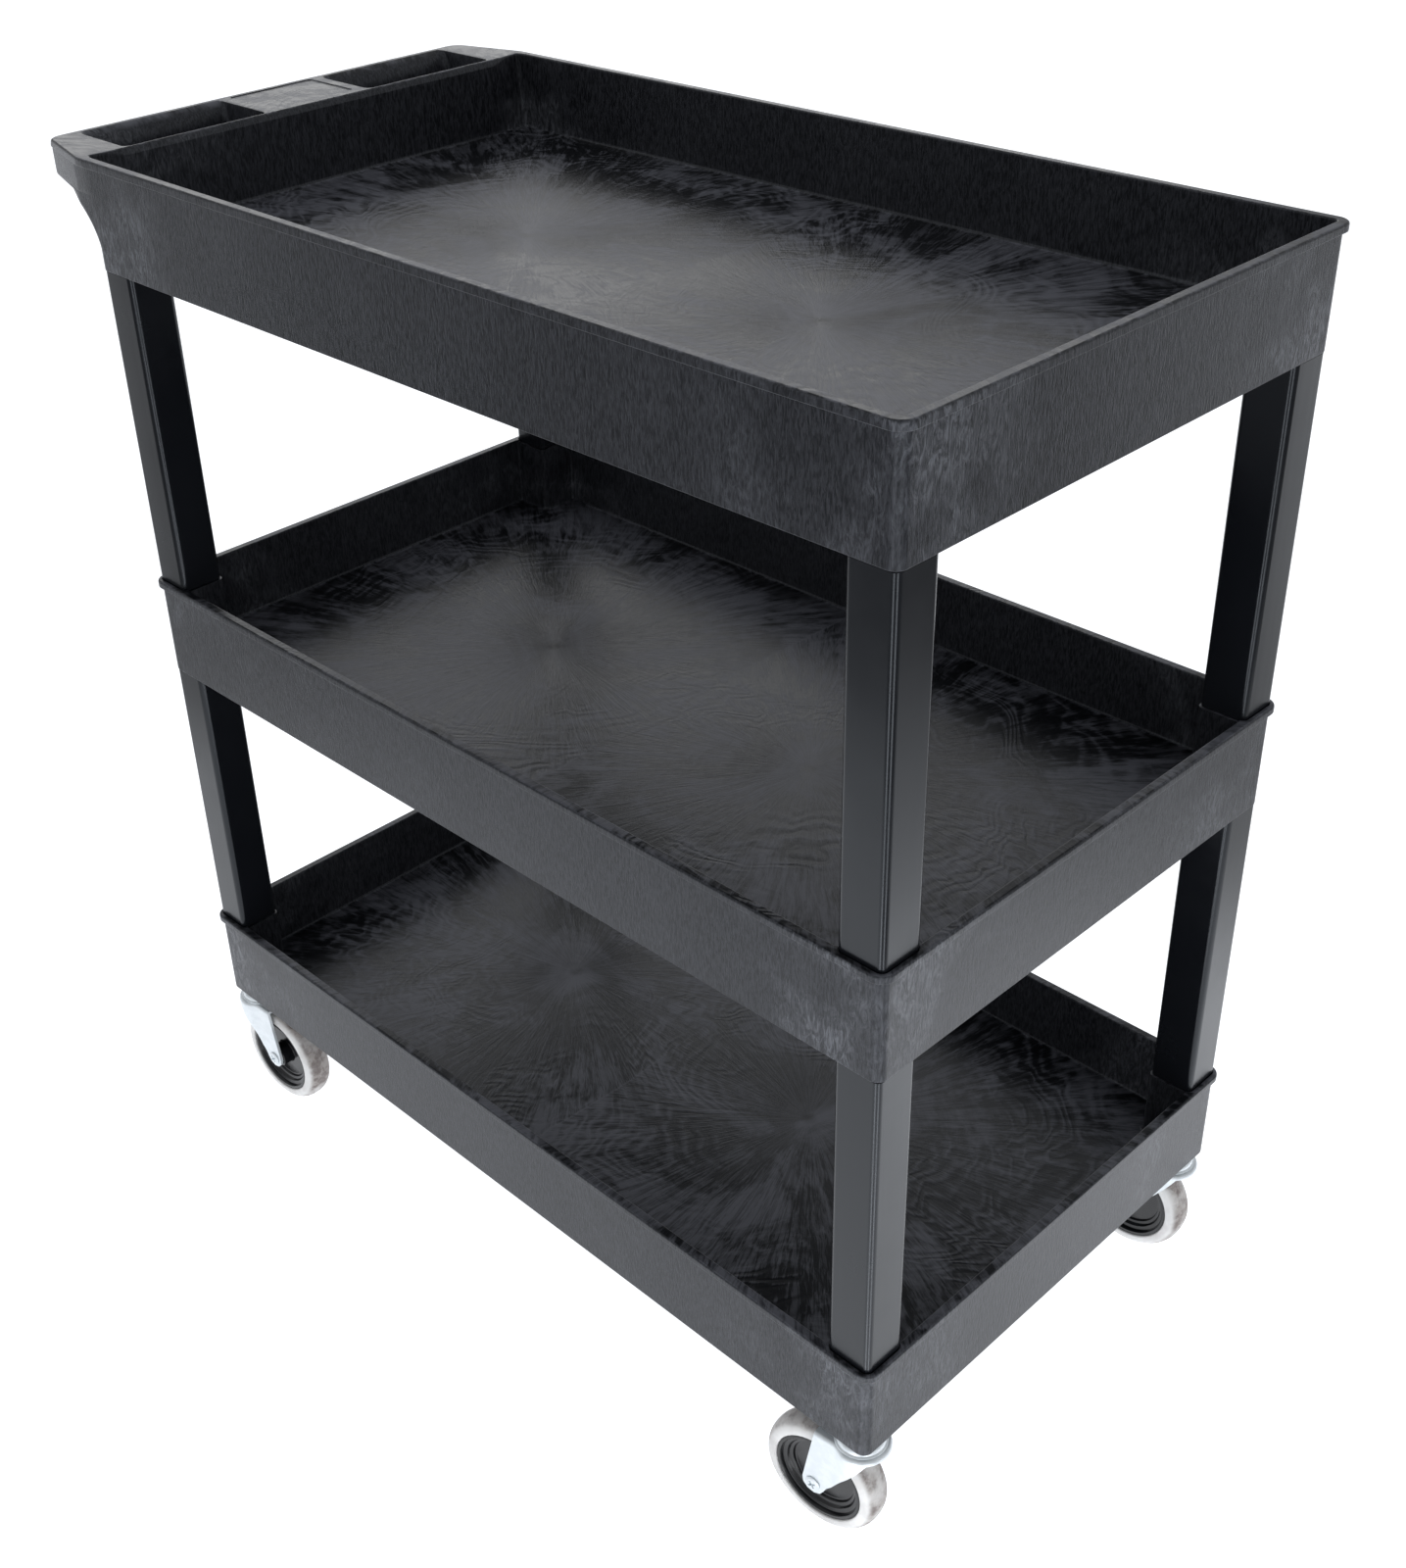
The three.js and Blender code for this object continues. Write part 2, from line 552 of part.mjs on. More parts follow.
/** One caster: the pieces held by the tray, and the fork and wheel turned to their heading. */
function makeCaster(corner) {
  const axis = new THREE.Group();
  axis.position.set(TRAY_CENTRE_X + corner.x * LEG_X, corner.y * LEG_Y, 0);
  axis.add(
    piece(`caster_socket_${corner.name}`, stemSocket(), 'socket'),
    piece(`caster_stem_${corner.name}`, casterStem(), 'steel'),
    piece(`caster_raceway_${corner.name}`, raceway(), 'zinc'),
    piece(`caster_ball_race_${corner.name}`, ballRace(), 'steel'),
  );

  const swivel = new THREE.Group();
  swivel.rotation.z = THREE.MathUtils.degToRad(corner.heading);
  swivel.add(piece(`caster_fork_${corner.name}`, fork(), 'zinc'));

  const axle = new THREE.Group();
  axle.position.set(CASTER_TRAIL, 0, WHEEL_RADIUS);
  axle.add(
    piece(`wheel_hub_${corner.name}`, wheelHub(), 'hub'),
    piece(`wheel_tread_${corner.name}`, wheelTread(), 'tread'),
    piece(`axle_sleeve_${corner.name}`, axleSleeve(), 'steel'),
  );
  const fastening = new THREE.Group();
  fastening.rotation.z = corner.boltSide > 0 ? 0 : Math.PI;
  fastening.add(
    piece(`axle_bolt_${corner.name}`, axleBolt(), 'zinc'),
    piece(`axle_nut_${corner.name}`, axleNut(), 'zinc'),
  );
  axle.add(fastening);
  swivel.add(axle);
  axis.add(swivel);
  return axis;
}

// ---------------------------------------------------------------- assembly

const cart = new THREE.Group();
cart.add(
  makeTopTray(),
  makeTray('middle_tray', MIDDLE_LIP_Z, { pegUp: true, pegDown: true }),
  makeTray('bottom_tray', BOTTOM_LIP_Z, { pegUp: true, casterBore: true }),
);
for (const corner of CORNERS) {
  cart.add(makeLeg('upper', corner, MIDDLE_LIP_Z, TOP_LIP_Z));
  cart.add(makeLeg('lower', corner, BOTTOM_LIP_Z, MIDDLE_LIP_Z));
  cart.add(makeCaster(corner));
}

export default cart;
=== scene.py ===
"""A three-shelf tool cart: detailed pieces, materials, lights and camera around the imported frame.

Plans and sections are in millimetres; make_object() turns them into metres.
+X points to the front, away from the push handle, +Y to the left and +Z up.
"""

import json
import math

import bmesh
import bpy
from mathutils import Matrix, Vector


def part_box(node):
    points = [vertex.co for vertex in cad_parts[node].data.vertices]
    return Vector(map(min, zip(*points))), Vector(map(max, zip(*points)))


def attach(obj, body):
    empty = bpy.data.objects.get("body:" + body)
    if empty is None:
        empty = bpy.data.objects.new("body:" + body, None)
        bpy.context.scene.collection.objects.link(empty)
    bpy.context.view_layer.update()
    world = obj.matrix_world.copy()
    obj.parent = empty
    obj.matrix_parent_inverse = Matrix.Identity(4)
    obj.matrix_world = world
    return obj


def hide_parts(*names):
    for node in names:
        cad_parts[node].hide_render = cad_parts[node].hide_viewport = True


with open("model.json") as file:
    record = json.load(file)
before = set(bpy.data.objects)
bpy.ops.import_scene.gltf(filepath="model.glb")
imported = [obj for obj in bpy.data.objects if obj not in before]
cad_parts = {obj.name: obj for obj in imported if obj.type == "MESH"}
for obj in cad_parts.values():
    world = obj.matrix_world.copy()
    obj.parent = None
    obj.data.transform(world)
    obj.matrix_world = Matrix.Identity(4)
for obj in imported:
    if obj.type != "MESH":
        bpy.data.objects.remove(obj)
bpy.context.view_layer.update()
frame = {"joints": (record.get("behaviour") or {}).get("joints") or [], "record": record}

MM = 0.001

# ---------------------------------------------------------------- places read from the frame

MOUNTS = {mount["name"]: mount for mount in frame["record"]["mounts"]}
JOINTS = {joint["name"]: joint for joint in frame["joints"]}
CORNERS = {
    "front_right": (1, -1),
    "front_left": (1, 1),
    "rear_right": (-1, -1),
    "rear_left": (-1, 1),
}
# The corners whose axle bolt is put in from the other side.
BOLT_TURNED_ROUND = ("rear_right",)


def box_mm(node):
    """The lowest and highest corners of a CAD node, in millimetres."""
    low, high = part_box(node)
    return low / MM, high / MM


TRAY_LOW, TRAY_HIGH = box_mm("middle_tray")
TRAY_X = (TRAY_LOW.x + TRAY_HIGH.x) / 2
HALF_LENGTH = (TRAY_HIGH.x - TRAY_LOW.x) / 2
HALF_WIDTH = (TRAY_HIGH.y - TRAY_LOW.y) / 2

FLOOR_DEPTH = 64.5
TRAY_DEPTH = 88.0
LIP_Z = {
    level: MOUNTS[f"{level}_tray_floor"]["pos_m"][2] / MM + FLOOR_DEPTH
    for level in ("top", "middle", "bottom")
}

# ---------------------------------------------------------------- dimensions of the mouldings

LIP_OVERHANG = 3.5
LIP_HEIGHT = 6.5
LIP_TOP_ROUND = 2.0
LIP_FOOT_ROUND = 0.8
TRAY_CORNER_RADIUS = 12.0
WALL = 4.6
WALL_DRAFT = 0.5
BASIN_CORNER_RADIUS = 4.0
BASIN_TOP_ROUND = 1.2
FLOOR_FILLET = 3.0
FLOOR_THICKNESS = 4.5
SKIRT_ROUND = 0.9
POST_MARGIN = 1.0
POST_FILLET = 3.0
SEAT_DROP = 2.0
SEAT_GAP = 0.4
RIB_THICKNESS = 4.0
RIB_HEIGHT = 12.0
CROSS_RIBS = 3
LONG_RIBS = 2
PEG_LENGTH = 45.0
PEG_OVERLAP = 3.0

LEG_RADIUS = 5.0
LEG_WALL = 3.2
LEG_END_EASE = 0.5
LEG_LOW, LEG_HIGH = box_mm("upper_leg_front_left")
LEG_SIZE = LEG_HIGH.x - LEG_LOW.x
LEG_X = (LEG_LOW.x + LEG_HIGH.x) / 2 - TRAY_X
LEG_Y = (LEG_LOW.y + LEG_HIGH.y) / 2

HANDLE_REACH = TRAY_X - box_mm("top_tray")[0].x
HANDLE_THICKNESS = 28.5
HANDLE_BEAD = 0.9
HANDLE_TOP_ROUND = 8.0
HANDLE_FOOT_ROUND = 2.5
HANDLE_TIP_RADIUS = 14.0
HANDLE_TAPER = 0.25
HANDLE_ROOT_X = -390.0
HANDLE_TIP_STEPS = 10
COVE_START = 442.0
COVE_DEPTH = 70.0
COVE_BULGE = 6.7
HOLE_INNER_X = 405.3
HOLE_OUTER_X = 465.0
HOLE_INNER_Y = 52.5
HOLE_OUTER_Y = 186.0
HOLE_RADIUS = 6.0
HOLE_EDGE_ROUND = 1.2
BAR_ROLL_ACROSS = 12.0
BAR_ROLL_DOWN = 20.0
PANEL_LENGTH = 62.0
PANEL_WIDTH = 84.0
PANEL_DEPTH = 0.8
END_BAND_HEIGHT = 5.5
END_BAND_WIDTH = 2.7
POCKET_WIDTH = 33.5
POCKET_DEPTH = 5.0
POCKET_FOOT = 1.5
REAR_WALL_STEPS = 120
REAR_WALL_BLEND = 3.0

BODY_HALF_LENGTH = HALF_LENGTH - LIP_OVERHANG
BODY_HALF_WIDTH = HALF_WIDTH - LIP_OVERHANG
BASIN_HALF_LENGTH = BODY_HALF_LENGTH - WALL
BASIN_HALF_WIDTH = BODY_HALF_WIDTH - WALL

# ---------------------------------------------------------------- mesh helpers


def make_object(name, points, faces):
    """A mesh object from points in millimetres."""
    mesh = bpy.data.meshes.new(name)
    mesh.from_pydata([Vector(point) * MM for point in points], [], faces)
    mesh.update()
    made = bpy.data.objects.new(name, mesh)
    bpy.context.scene.collection.objects.link(made)
    return made


def edit(made, change):
    """Runs change(bm) on an object's mesh."""
    bm = bmesh.new()
    bm.from_mesh(made.data)
    change(bm)
    bm.to_mesh(made.data)
    bm.free()
    return made


def fix_normals(made):
    return edit(made, lambda bm: bmesh.ops.recalc_face_normals(bm, faces=bm.faces))


def loft(name, rings, tube=False):
    """A closed solid through rings of equally many points: capped, or a tube that closes on itself."""
    count = len(rings[0])
    points = [point for ring in rings for point in ring]
    faces = []
    for level in range(len(rings) if tube else len(rings) - 1):
        here = level * count
        there = (level + 1) % len(rings) * count
        for i in range(count):
            j = (i + 1) % count
            faces.append((here + i, here + j, there + j, there + i))
    if not tube:
        faces.append(tuple(reversed(range(count))))
        faces.append(tuple(range(len(points) - count, len(points))))
    return fix_normals(make_object(name, points, faces))


def rectangle(half_x, half_y, radius, cx=0.0, cy=0.0):
    """Corners (x, y, radius) of a rectangle, counter-clockwise."""
    return [
        (cx + half_x, cy - half_y, radius),
        (cx + half_x, cy + half_y, radius),
        (cx - half_x, cy + half_y, radius),
        (cx - half_x, cy - half_y, radius),
    ]


def notched_rectangle(half_x, half_y, notch_x, notch_y, radius, notch_radius):
    """The same with each corner cut back to (notch_x, notch_y), for the corner posts."""
    corners = []
    for sx, sy in ((1, -1), (1, 1), (-1, 1), (-1, -1)):
        along_x = (sx * half_x, sy * notch_y, radius)
        inner = (sx * notch_x, sy * notch_y, notch_radius)
        along_y = (sx * notch_x, sy * half_y, radius)
        upward = sx == sy
        corners += [along_x, inner, along_y] if upward else [along_y, inner, along_x]
    return corners


def outline(corners, grow, z, steps=8):
    """A ring round a right-angled plan, grown outwards, with its corners rounded."""
    ring = []
    for i, (x, y, radius) in enumerate(corners):
        before = Vector(corners[i - 1][:2])
        here = Vector((x, y))
        after = Vector(corners[(i + 1) % len(corners)][:2])
        into = (here - before).normalized()
        out = (after - here).normalized()
        turn = 1 if into.x * out.y - into.y * out.x > 0 else -1
        normal_in = Vector((into.y, -into.x))
        normal_out = Vector((out.y, -out.x))
        r = max(radius + turn * grow, 0.05)
        centre = here + (normal_in + normal_out) * (grow - turn * r)
        for step in range(steps + 1):
            angle = turn * math.pi / 2 * step / steps
            spoke = Matrix.Rotation(angle, 2) @ normal_in
            point = centre + spoke * (turn * r)
            ring.append((point.x, point.y, z))
    return ring


def stack(name, plan, levels, steps=8):
    """A closed solid from one plan, grown by its own amount at each height: (grow, z) pairs."""
    return loft(name, [outline(plan, grow, z, steps) for grow, z in levels])


def hold(value):
    """A number held between 0 and 1."""
    return min(max(value, 0.0), 1.0)


def quarter(radius, steps=3):
    """(inset, drop) pairs of a convex edge, from its upright side to its flat top."""
    pairs = []
    for step in range(steps + 1):
        angle = math.pi / 2 * step / steps
        pairs.append((radius * (1 - math.cos(angle)), radius * (1 - math.sin(angle))))
    return pairs


def lathe(name, outline_points, sides=48, closed=True):
    """A solid of revolution about Z, from [radius, height] pairs."""
    points = []
    faces = []
    count = len(outline_points)
    for side in range(sides):
        angle = 2 * math.pi * side / sides
        for radius, height in outline_points:
            points.append((radius * math.cos(angle), radius * math.sin(angle), height))
    spans = count if closed else count - 1
    for side in range(sides):
        here = side * count
        there = ((side + 1) % sides) * count
        for i in range(spans):
            j = (i + 1) % count
            faces.append((here + i, there + i, there + j, here + j))
    made = make_object(name, points, faces)

    def clean(bm):
        bmesh.ops.remove_doubles(bm, verts=bm.verts, dist=1e-6)
        bmesh.ops.dissolve_degenerate(bm, edges=bm.edges, dist=1e-7)
        bmesh.ops.recalc_face_normals(bm, faces=bm.faces)

    return edit(made, clean)


def settle(made):
    """Puts the result of an object's modifiers into its mesh."""
    graph = bpy.context.evaluated_depsgraph_get()
    old = made.data
    made.data = bpy.data.meshes.new_from_object(made.evaluated_get(graph))
    made.data.name = made.name
    made.modifiers.clear()
    bpy.data.meshes.remove(old)
    return made


def combine(target, others, operation):
    """Joins other solids to a solid, or cuts them out of it, and removes them."""
    for other in others:
        modifier = target.modifiers.new(operation, "BOOLEAN")
        modifier.operation = operation
        modifier.solver = "EXACT"
        modifier.object = other
        settle(target)
        bpy.data.objects.remove(other)
    return target


def join(target, *others):
    return combine(target, others, "UNION")


def cut(target, *others):
    return combine(target, others, "DIFFERENCE")


def smooth(made, angle=32.0):
    """Smooth shading with crisp edges, and large faces kept flat."""
    made.data.polygons.foreach_set("use_smooth", [True] * len(made.data.polygons))
    made.data.set_sharp_from_angle(angle=math.radians(angle))
    modifier = made.modifiers.new("flat_faces", "WEIGHTED_NORMAL")
    modifier.keep_sharp = True
    return made


def shift(made, x=0.0, y=0.0, z=0.0, turn=0.0):
    """Turns a mesh about Z and moves it, in millimetres, keeping the object at the origin."""
    move = Matrix.Translation(Vector((x, y, z)) * MM) @ Matrix.Rotation(turn, 4, "Z")
    made.data.transform(move)
    return made


def finish_piece(made, node, body, material):
    """Hands a piece over: hides the CAD node that it stands for, and gives it its material and its body."""
    made.data.materials.clear()
    made.data.materials.append(material)
    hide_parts(node)
    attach(made, body)


# ---------------------------------------------------------------- trays


def floor_fillet():
    """(grow, z) pairs from a tray's floor up to the foot of its wall."""
    return [(-WALL_DRAFT - inset, -FLOOR_DEPTH + drop) for inset, drop in reversed(quarter(FLOOR_FILLET, 5))]


def tub_block():
    """The outside of a tray as a full block: skirt, wall and the rounded lip."""
    foot = quarter(LIP_FOOT_ROUND)
    levels = [(-LIP_OVERHANG - inset, -TRAY_DEPTH + drop) for inset, drop in reversed(quarter(SKIRT_ROUND))]
    levels += [(-LIP_OVERHANG + inset, -LIP_HEIGHT - drop) for inset, drop in foot]
    levels += [(-inset, -LIP_HEIGHT + drop) for inset, drop in reversed(foot)]
    levels += [(-inset, -drop) for inset, drop in quarter(LIP_TOP_ROUND, 5)]
    return stack("tub", rectangle(HALF_LENGTH, HALF_WIDTH, TRAY_CORNER_RADIUS), levels, 10)


def basin_cutter(plan):
    """The inside of a tray, flared at the lip and filleted at the floor."""
    levels = floor_fillet()
    levels += [(inset, -drop) for inset, drop in quarter(BASIN_TOP_ROUND)]
    levels.append((BASIN_TOP_ROUND, 1.0))
    return stack("basin", plan, levels)


def post_plan(half_x, half_y):
    """The plan of the space between the four corner posts."""
    inner = LEG_SIZE / 2 + POST_MARGIN
    return notched_rectangle(half_x, half_y, LEG_X - inner, LEG_Y - inner, POST_FILLET, LEG_RADIUS)


def underside_cutter():
    """The hollow under the floor, inside the skirt and round the posts."""
    plan = post_plan(BASIN_HALF_LENGTH, BASIN_HALF_WIDTH)
    ceiling = -FLOOR_DEPTH - FLOOR_THICKNESS
    levels = [(0.0, -TRAY_DEPTH - 1.0)]
    levels += [(-inset, ceiling - drop) for inset, drop in quarter(2.0)]
    return stack("underside", plan, levels)


def rib(half_x, half_y, cx, cy):
    """One stiffening rib under the floor, a little thinner at its free edge."""
    top = -FLOOR_DEPTH - FLOOR_THICKNESS + 1.0
    low = top - 1.0 - RIB_HEIGHT
    plan = rectangle(half_x, half_y, 0.3, cx, cy)
    return stack("rib", plan, [(-0.5, low), (-0.2, low + 0.4), (0.0, top)], 2)


def ribs():
    made = []
    for i in range(CROSS_RIBS):
        x = BASIN_HALF_LENGTH * (2 * (i + 1) / (CROSS_RIBS + 1) - 1)
        made.append(rib(RIB_THICKNESS / 2, BASIN_HALF_WIDTH + 1.0, x, 0.0))
    for i in range(LONG_RIBS):
        y = BASIN_HALF_WIDTH * (2 * (i + 1) / (LONG_RIBS + 1) - 1)
        made.append(rib(BASIN_HALF_LENGTH + 1.0, RIB_THICKNESS / 2, 0.0, y))
    return made


def peg(sx, sy, low, high):
    """A peg that a hollow leg slides over."""
    half = LEG_SIZE / 2 - LEG_WALL - 0.4
    plan = rectangle(half, half, 2.0, sx * LEG_X, sy * LEG_Y)
    return stack("peg", plan, [(-1.5, low), (0.0, low + 2.0), (0.0, high - 2.0), (-1.5, high)], 4)


def peg_below(sx, sy):
    """A peg under a corner post, for the leg that hangs from it."""
    return peg(sx, sy, -TRAY_DEPTH - PEG_LENGTH, -TRAY_DEPTH + PEG_OVERLAP)


def leg_seat(sx, sy):
    """Cutters for the seat of a leg's foot: its outline, and the flat top of the post."""
    half = LEG_SIZE / 2 + SEAT_GAP
    plan = rectangle(half, half, LEG_RADIUS + SEAT_GAP, sx * LEG_X, sy * LEG_Y)
    levels = [(0.0, -SEAT_DROP - 0.05)]
    levels += [(inset, -drop) for inset, drop in quarter(0.8)]
    levels.append((0.8, 1.0))
    inner_x = LEG_X - LEG_SIZE / 2 - 5.0
    inner_y = LEG_Y - LEG_SIZE / 2 - 5.0
    top = rectangle(
        (BASIN_HALF_LENGTH - inner_x) / 2, (BASIN_HALF_WIDTH - inner_y) / 2, 1.0,
        sx * (BASIN_HALF_LENGTH + inner_x) / 2, sy * (BASIN_HALF_WIDTH + inner_y) / 2,
    )
    return stack("seat", plan, levels), stack("post_top", top, [(0.0, -SEAT_DROP), (0.0, 1.0)])


def caster_bore(sx, sy):
    """The bore in a corner post that takes a caster's socket."""
    socket_low, socket_high = box_mm("caster_socket_front_left")
    radius = (socket_high.x - socket_low.x) / 2 * 0.66
    low = -TRAY_DEPTH - 1.0
    high = -TRAY_DEPTH + 47.0
    bore = lathe("bore", [(0.0, low), (radius, low), (radius, high), (0.0, high)], 32)
    return shift(bore, sx * LEG_X, sy * LEG_Y)


def make_lower_tray(level, is_bottom):
    """The middle or the bottom tray: a basin with four corner posts that seat the legs."""
    plan = post_plan(BASIN_HALF_LENGTH, BASIN_HALF_WIDTH)
    tray = cut(tub_block(), basin_cutter(plan), underside_cutter())
    join(tray, *ribs())
    for sx, sy in CORNERS.values():
        cut(tray, *leg_seat(sx, sy))
        join(tray, peg(sx, sy, -SEAT_DROP - PEG_OVERLAP, -SEAT_DROP + PEG_LENGTH))
        if is_bottom:
            cut(tray, caster_bore(sx, sy))
        else:
            join(tray, peg_below(sx, sy))
    place_tray(tray, level)


def place_tray(tray, level):
    """Puts a finished tray at its height and hands it over."""
    shift(tray, TRAY_X, 0.0, LIP_Z[level])
    tray.name = f"{level}_tray_moulding"
    tray.data.name = tray.name
    smooth(tray)
    finish_piece(tray, f"{level}_tray", "cart", tray_plastic())


# ---------------------------------------------------------------- the push handle


def handle_ring(root_inset, side_inset, tip_x, tip_radius, z):
    """The handle's outline at one height: along the tray, tapering, and round its two tips."""
    root_y = HALF_WIDTH - root_inset
    taper_x = -HALF_LENGTH - (root_inset - side_inset) / math.tan(HANDLE_TAPER)
    centre_x = tip_x + tip_radius
    slope = HANDLE_TAPER if centre_x < taper_x else 0.0
    centre_y = root_y - math.tan(slope) * (taper_x - centre_x) - tip_radius / math.cos(slope)
    half_ring = [(HANDLE_ROOT_X, root_y), (max(taper_x, centre_x + 0.1), root_y)]
    for step in range(HANDLE_TIP_STEPS + 1):
        angle = math.pi / 2 + slope + (math.pi / 2 - slope) * step / HANDLE_TIP_STEPS
        half_ring.append((
            centre_x + tip_radius * math.cos(angle),
            centre_y + tip_radius * math.sin(angle),
        ))
    mirrored = [(x, -y) for x, y in reversed(half_ring)]
    return [(x, y, z) for x, y in half_ring + mirrored]


def curve(start, middle, end, t):
    """A point on a quadratic curve, for one coordinate."""
    return (1 - t) ** 2 * start + 2 * t * (1 - t) * middle + t * t * end


def handle_cove():
    """(tip x, tip radius, z) up the curved underside, from the wall to the bar."""
    wall = -BODY_HALF_LENGTH
    wall_radius = TRAY_CORNER_RADIUS - LIP_OVERHANG
    bar_radius = HANDLE_TIP_RADIUS - HANDLE_BEAD
    levels = [(wall + 0.15, wall_radius, -COVE_DEPTH - 3.0)]
    steps = 12
    for step in range(steps + 1):
        t = step / steps
        x = curve(wall, wall - COVE_BULGE, -COVE_START, t)
        z = curve(-COVE_DEPTH, -COVE_DEPTH * 0.68, -HANDLE_THICKNESS - 1.0, t)
        levels.append((x, wall_radius * (1 - t) + bar_radius * t, z))
    return levels


def top_edge_inset(depth):
    """How far the rounded outer top edge of the handle stands back, this far below the top."""
    if depth >= HANDLE_TOP_ROUND:
        return 0.0
    return HANDLE_TOP_ROUND - math.sqrt(HANDLE_TOP_ROUND ** 2 - (HANDLE_TOP_ROUND - depth) ** 2)


def handle_block():
    """The handle as a full block: cove, bar, side bead and rounded top edge."""
    hidden = 0.02
    body = LIP_OVERHANG + hidden
    tip_radius = HANDLE_TIP_RADIUS - HANDLE_BEAD
    rings = [handle_ring(body, HANDLE_BEAD, x, radius, z) for x, radius, z in handle_cove()]
    for inset, drop in reversed(quarter(HANDLE_FOOT_ROUND)):
        rings.append(handle_ring(
            body, HANDLE_BEAD + inset * 0.2, -HANDLE_REACH + HANDLE_BEAD + inset,
            tip_radius - inset * 0.5, -HANDLE_THICKNESS + drop,
        ))
    foot = LIP_FOOT_ROUND
    bead = [
        (body, HANDLE_BEAD, -LIP_HEIGHT - foot),
        (body - foot, HANDLE_BEAD, -LIP_HEIGHT - hidden),
        (foot, 0.3, -LIP_HEIGHT),
        (hidden, hidden, -LIP_HEIGHT + foot),
    ]
    bead += [(hidden + inset, hidden + inset, -drop) for inset, drop in quarter(LIP_TOP_ROUND, 5)]
    for root_inset, inset, z in bead:
        end = max(inset, top_edge_inset(-z))
        rings.append(handle_ring(root_inset, inset, -HANDLE_REACH + end, HANDLE_TIP_RADIUS - inset, z))
    return loft("handle", rings)


def roll_in(share):
    """How far a quarter round of unit radius stands in, this share of the way up it."""
    return 1 - math.sqrt(max(1 - share ** 2, 0.0))


def hand_hole_cutter(side):
    """A hand hole, with a large roll over the bar and a small round on its other edges."""
    steps = 10
    heights = [-COVE_DEPTH - 8.0, -BAR_ROLL_DOWN]
    heights += [-BAR_ROLL_DOWN * math.cos(math.pi / 2 * step / steps) for step in range(1, steps)]
    heights += [-HOLE_EDGE_ROUND * 0.3, 0.0, 1.0]
    rings = []
    for z in heights:
        edge = HOLE_EDGE_ROUND * roll_in(hold(z / HOLE_EDGE_ROUND + 1.0))
        x_low = -HOLE_OUTER_X - BAR_ROLL_ACROSS * roll_in(hold(z / BAR_ROLL_DOWN + 1.0))
        x_high = -HOLE_INNER_X + edge * 0.5
        y_low = HOLE_INNER_Y - edge
        y_high = HOLE_OUTER_Y + edge
        plan = rectangle(
            (x_high - x_low) / 2, (y_high - y_low) / 2, HOLE_RADIUS,
            (x_high + x_low) / 2, side * (y_high + y_low) / 2,
        )
        rings.append(outline(plan, 0.0, z))
    return loft("hand_hole", rings)


def panel_cutter():
    """The shallow blank panel on the web between the hand holes."""
    centre_x = -(HOLE_INNER_X + HANDLE_REACH) / 2 + 1.5
    plan = rectangle(PANEL_LENGTH / 2, PANEL_WIDTH / 2, 3.0, centre_x, 0.0)
    return stack("panel", plan, [(-0.5, -PANEL_DEPTH), (0.0, -PANEL_DEPTH + 0.4), (0.3, 0.0), (0.3, 1.0)])


def rear_wall_offset(y, z):
    """How far the rear inner wall stands back: its sloping top band and its corner pockets."""
    rise = hold((z + END_BAND_HEIGHT) / END_BAND_HEIGHT)
    band = END_BAND_WIDTH * (0.35 * rise + 0.65 * rise ** 2)
    past_corner = (abs(y) - BASIN_HALF_WIDTH + POCKET_WIDTH) / POCKET_WIDTH
    pocket = POCKET_DEPTH * hold(past_corner + z / (FLOOR_DEPTH - POCKET_FOOT))
    return max(band, pocket)


def top_basin_ring(plan, grow, z):
    """One ring of the top tray's basin, with extra points along its rear wall to shape it."""
    ring = [point[:2] for point in outline(plan, grow, z)]
    shaped = []
    for i, (x, y) in enumerate(ring):
        shaped.append((x, y))
        after_y = ring[(i + 1) % len(ring)][1]
        if x < 0 and abs(after_y - y) > BASIN_HALF_WIDTH:
            shaped += [(x, y + (after_y - y) * step / REAR_WALL_STEPS) for step in range(1, REAR_WALL_STEPS)]
    result = []
    for x, y in shaped:
        share = hold((-BASIN_HALF_LENGTH + REAR_WALL_BLEND - x) / REAR_WALL_BLEND)
        result.append((x - rear_wall_offset(y, z) * share, y, z))
    return result


def top_basin_cutter():
    """The inside of the top tray: like a plain basin, with a band and pockets at its rear."""
    levels = floor_fillet()
    low = levels[-1][1]
    steps = 14
    for step in range(1, steps):
        z = low + (-END_BAND_HEIGHT - low) * step / steps
        levels.append((-WALL_DRAFT * z / low, z))
    levels += [(0.0, -END_BAND_HEIGHT * share) for share in (1.0, 0.97, 0.8, 0.6, 0.4)]
    levels += [(inset, -drop) for inset, drop in quarter(BASIN_TOP_ROUND)]
    levels.append((BASIN_TOP_ROUND, 0.6))
    plan = rectangle(BASIN_HALF_LENGTH, BASIN_HALF_WIDTH, BASIN_CORNER_RADIUS)
    return loft("basin", [top_basin_ring(plan, grow, z) for grow, z in levels])


def make_top_tray():
    """The top tray: a plain basin, posts and pegs below it, and the push handle."""
    tray = join(tub_block(), handle_block())
    holes = (hand_hole_cutter(-1), hand_hole_cutter(1))
    cut(tray, top_basin_cutter(), underside_cutter(), *holes, panel_cutter())
    join(tray, *ribs())
    for sx, sy in CORNERS.values():
        join(tray, peg_below(sx, sy))
    place_tray(tray, "top")


# ---------------------------------------------------------------- legs


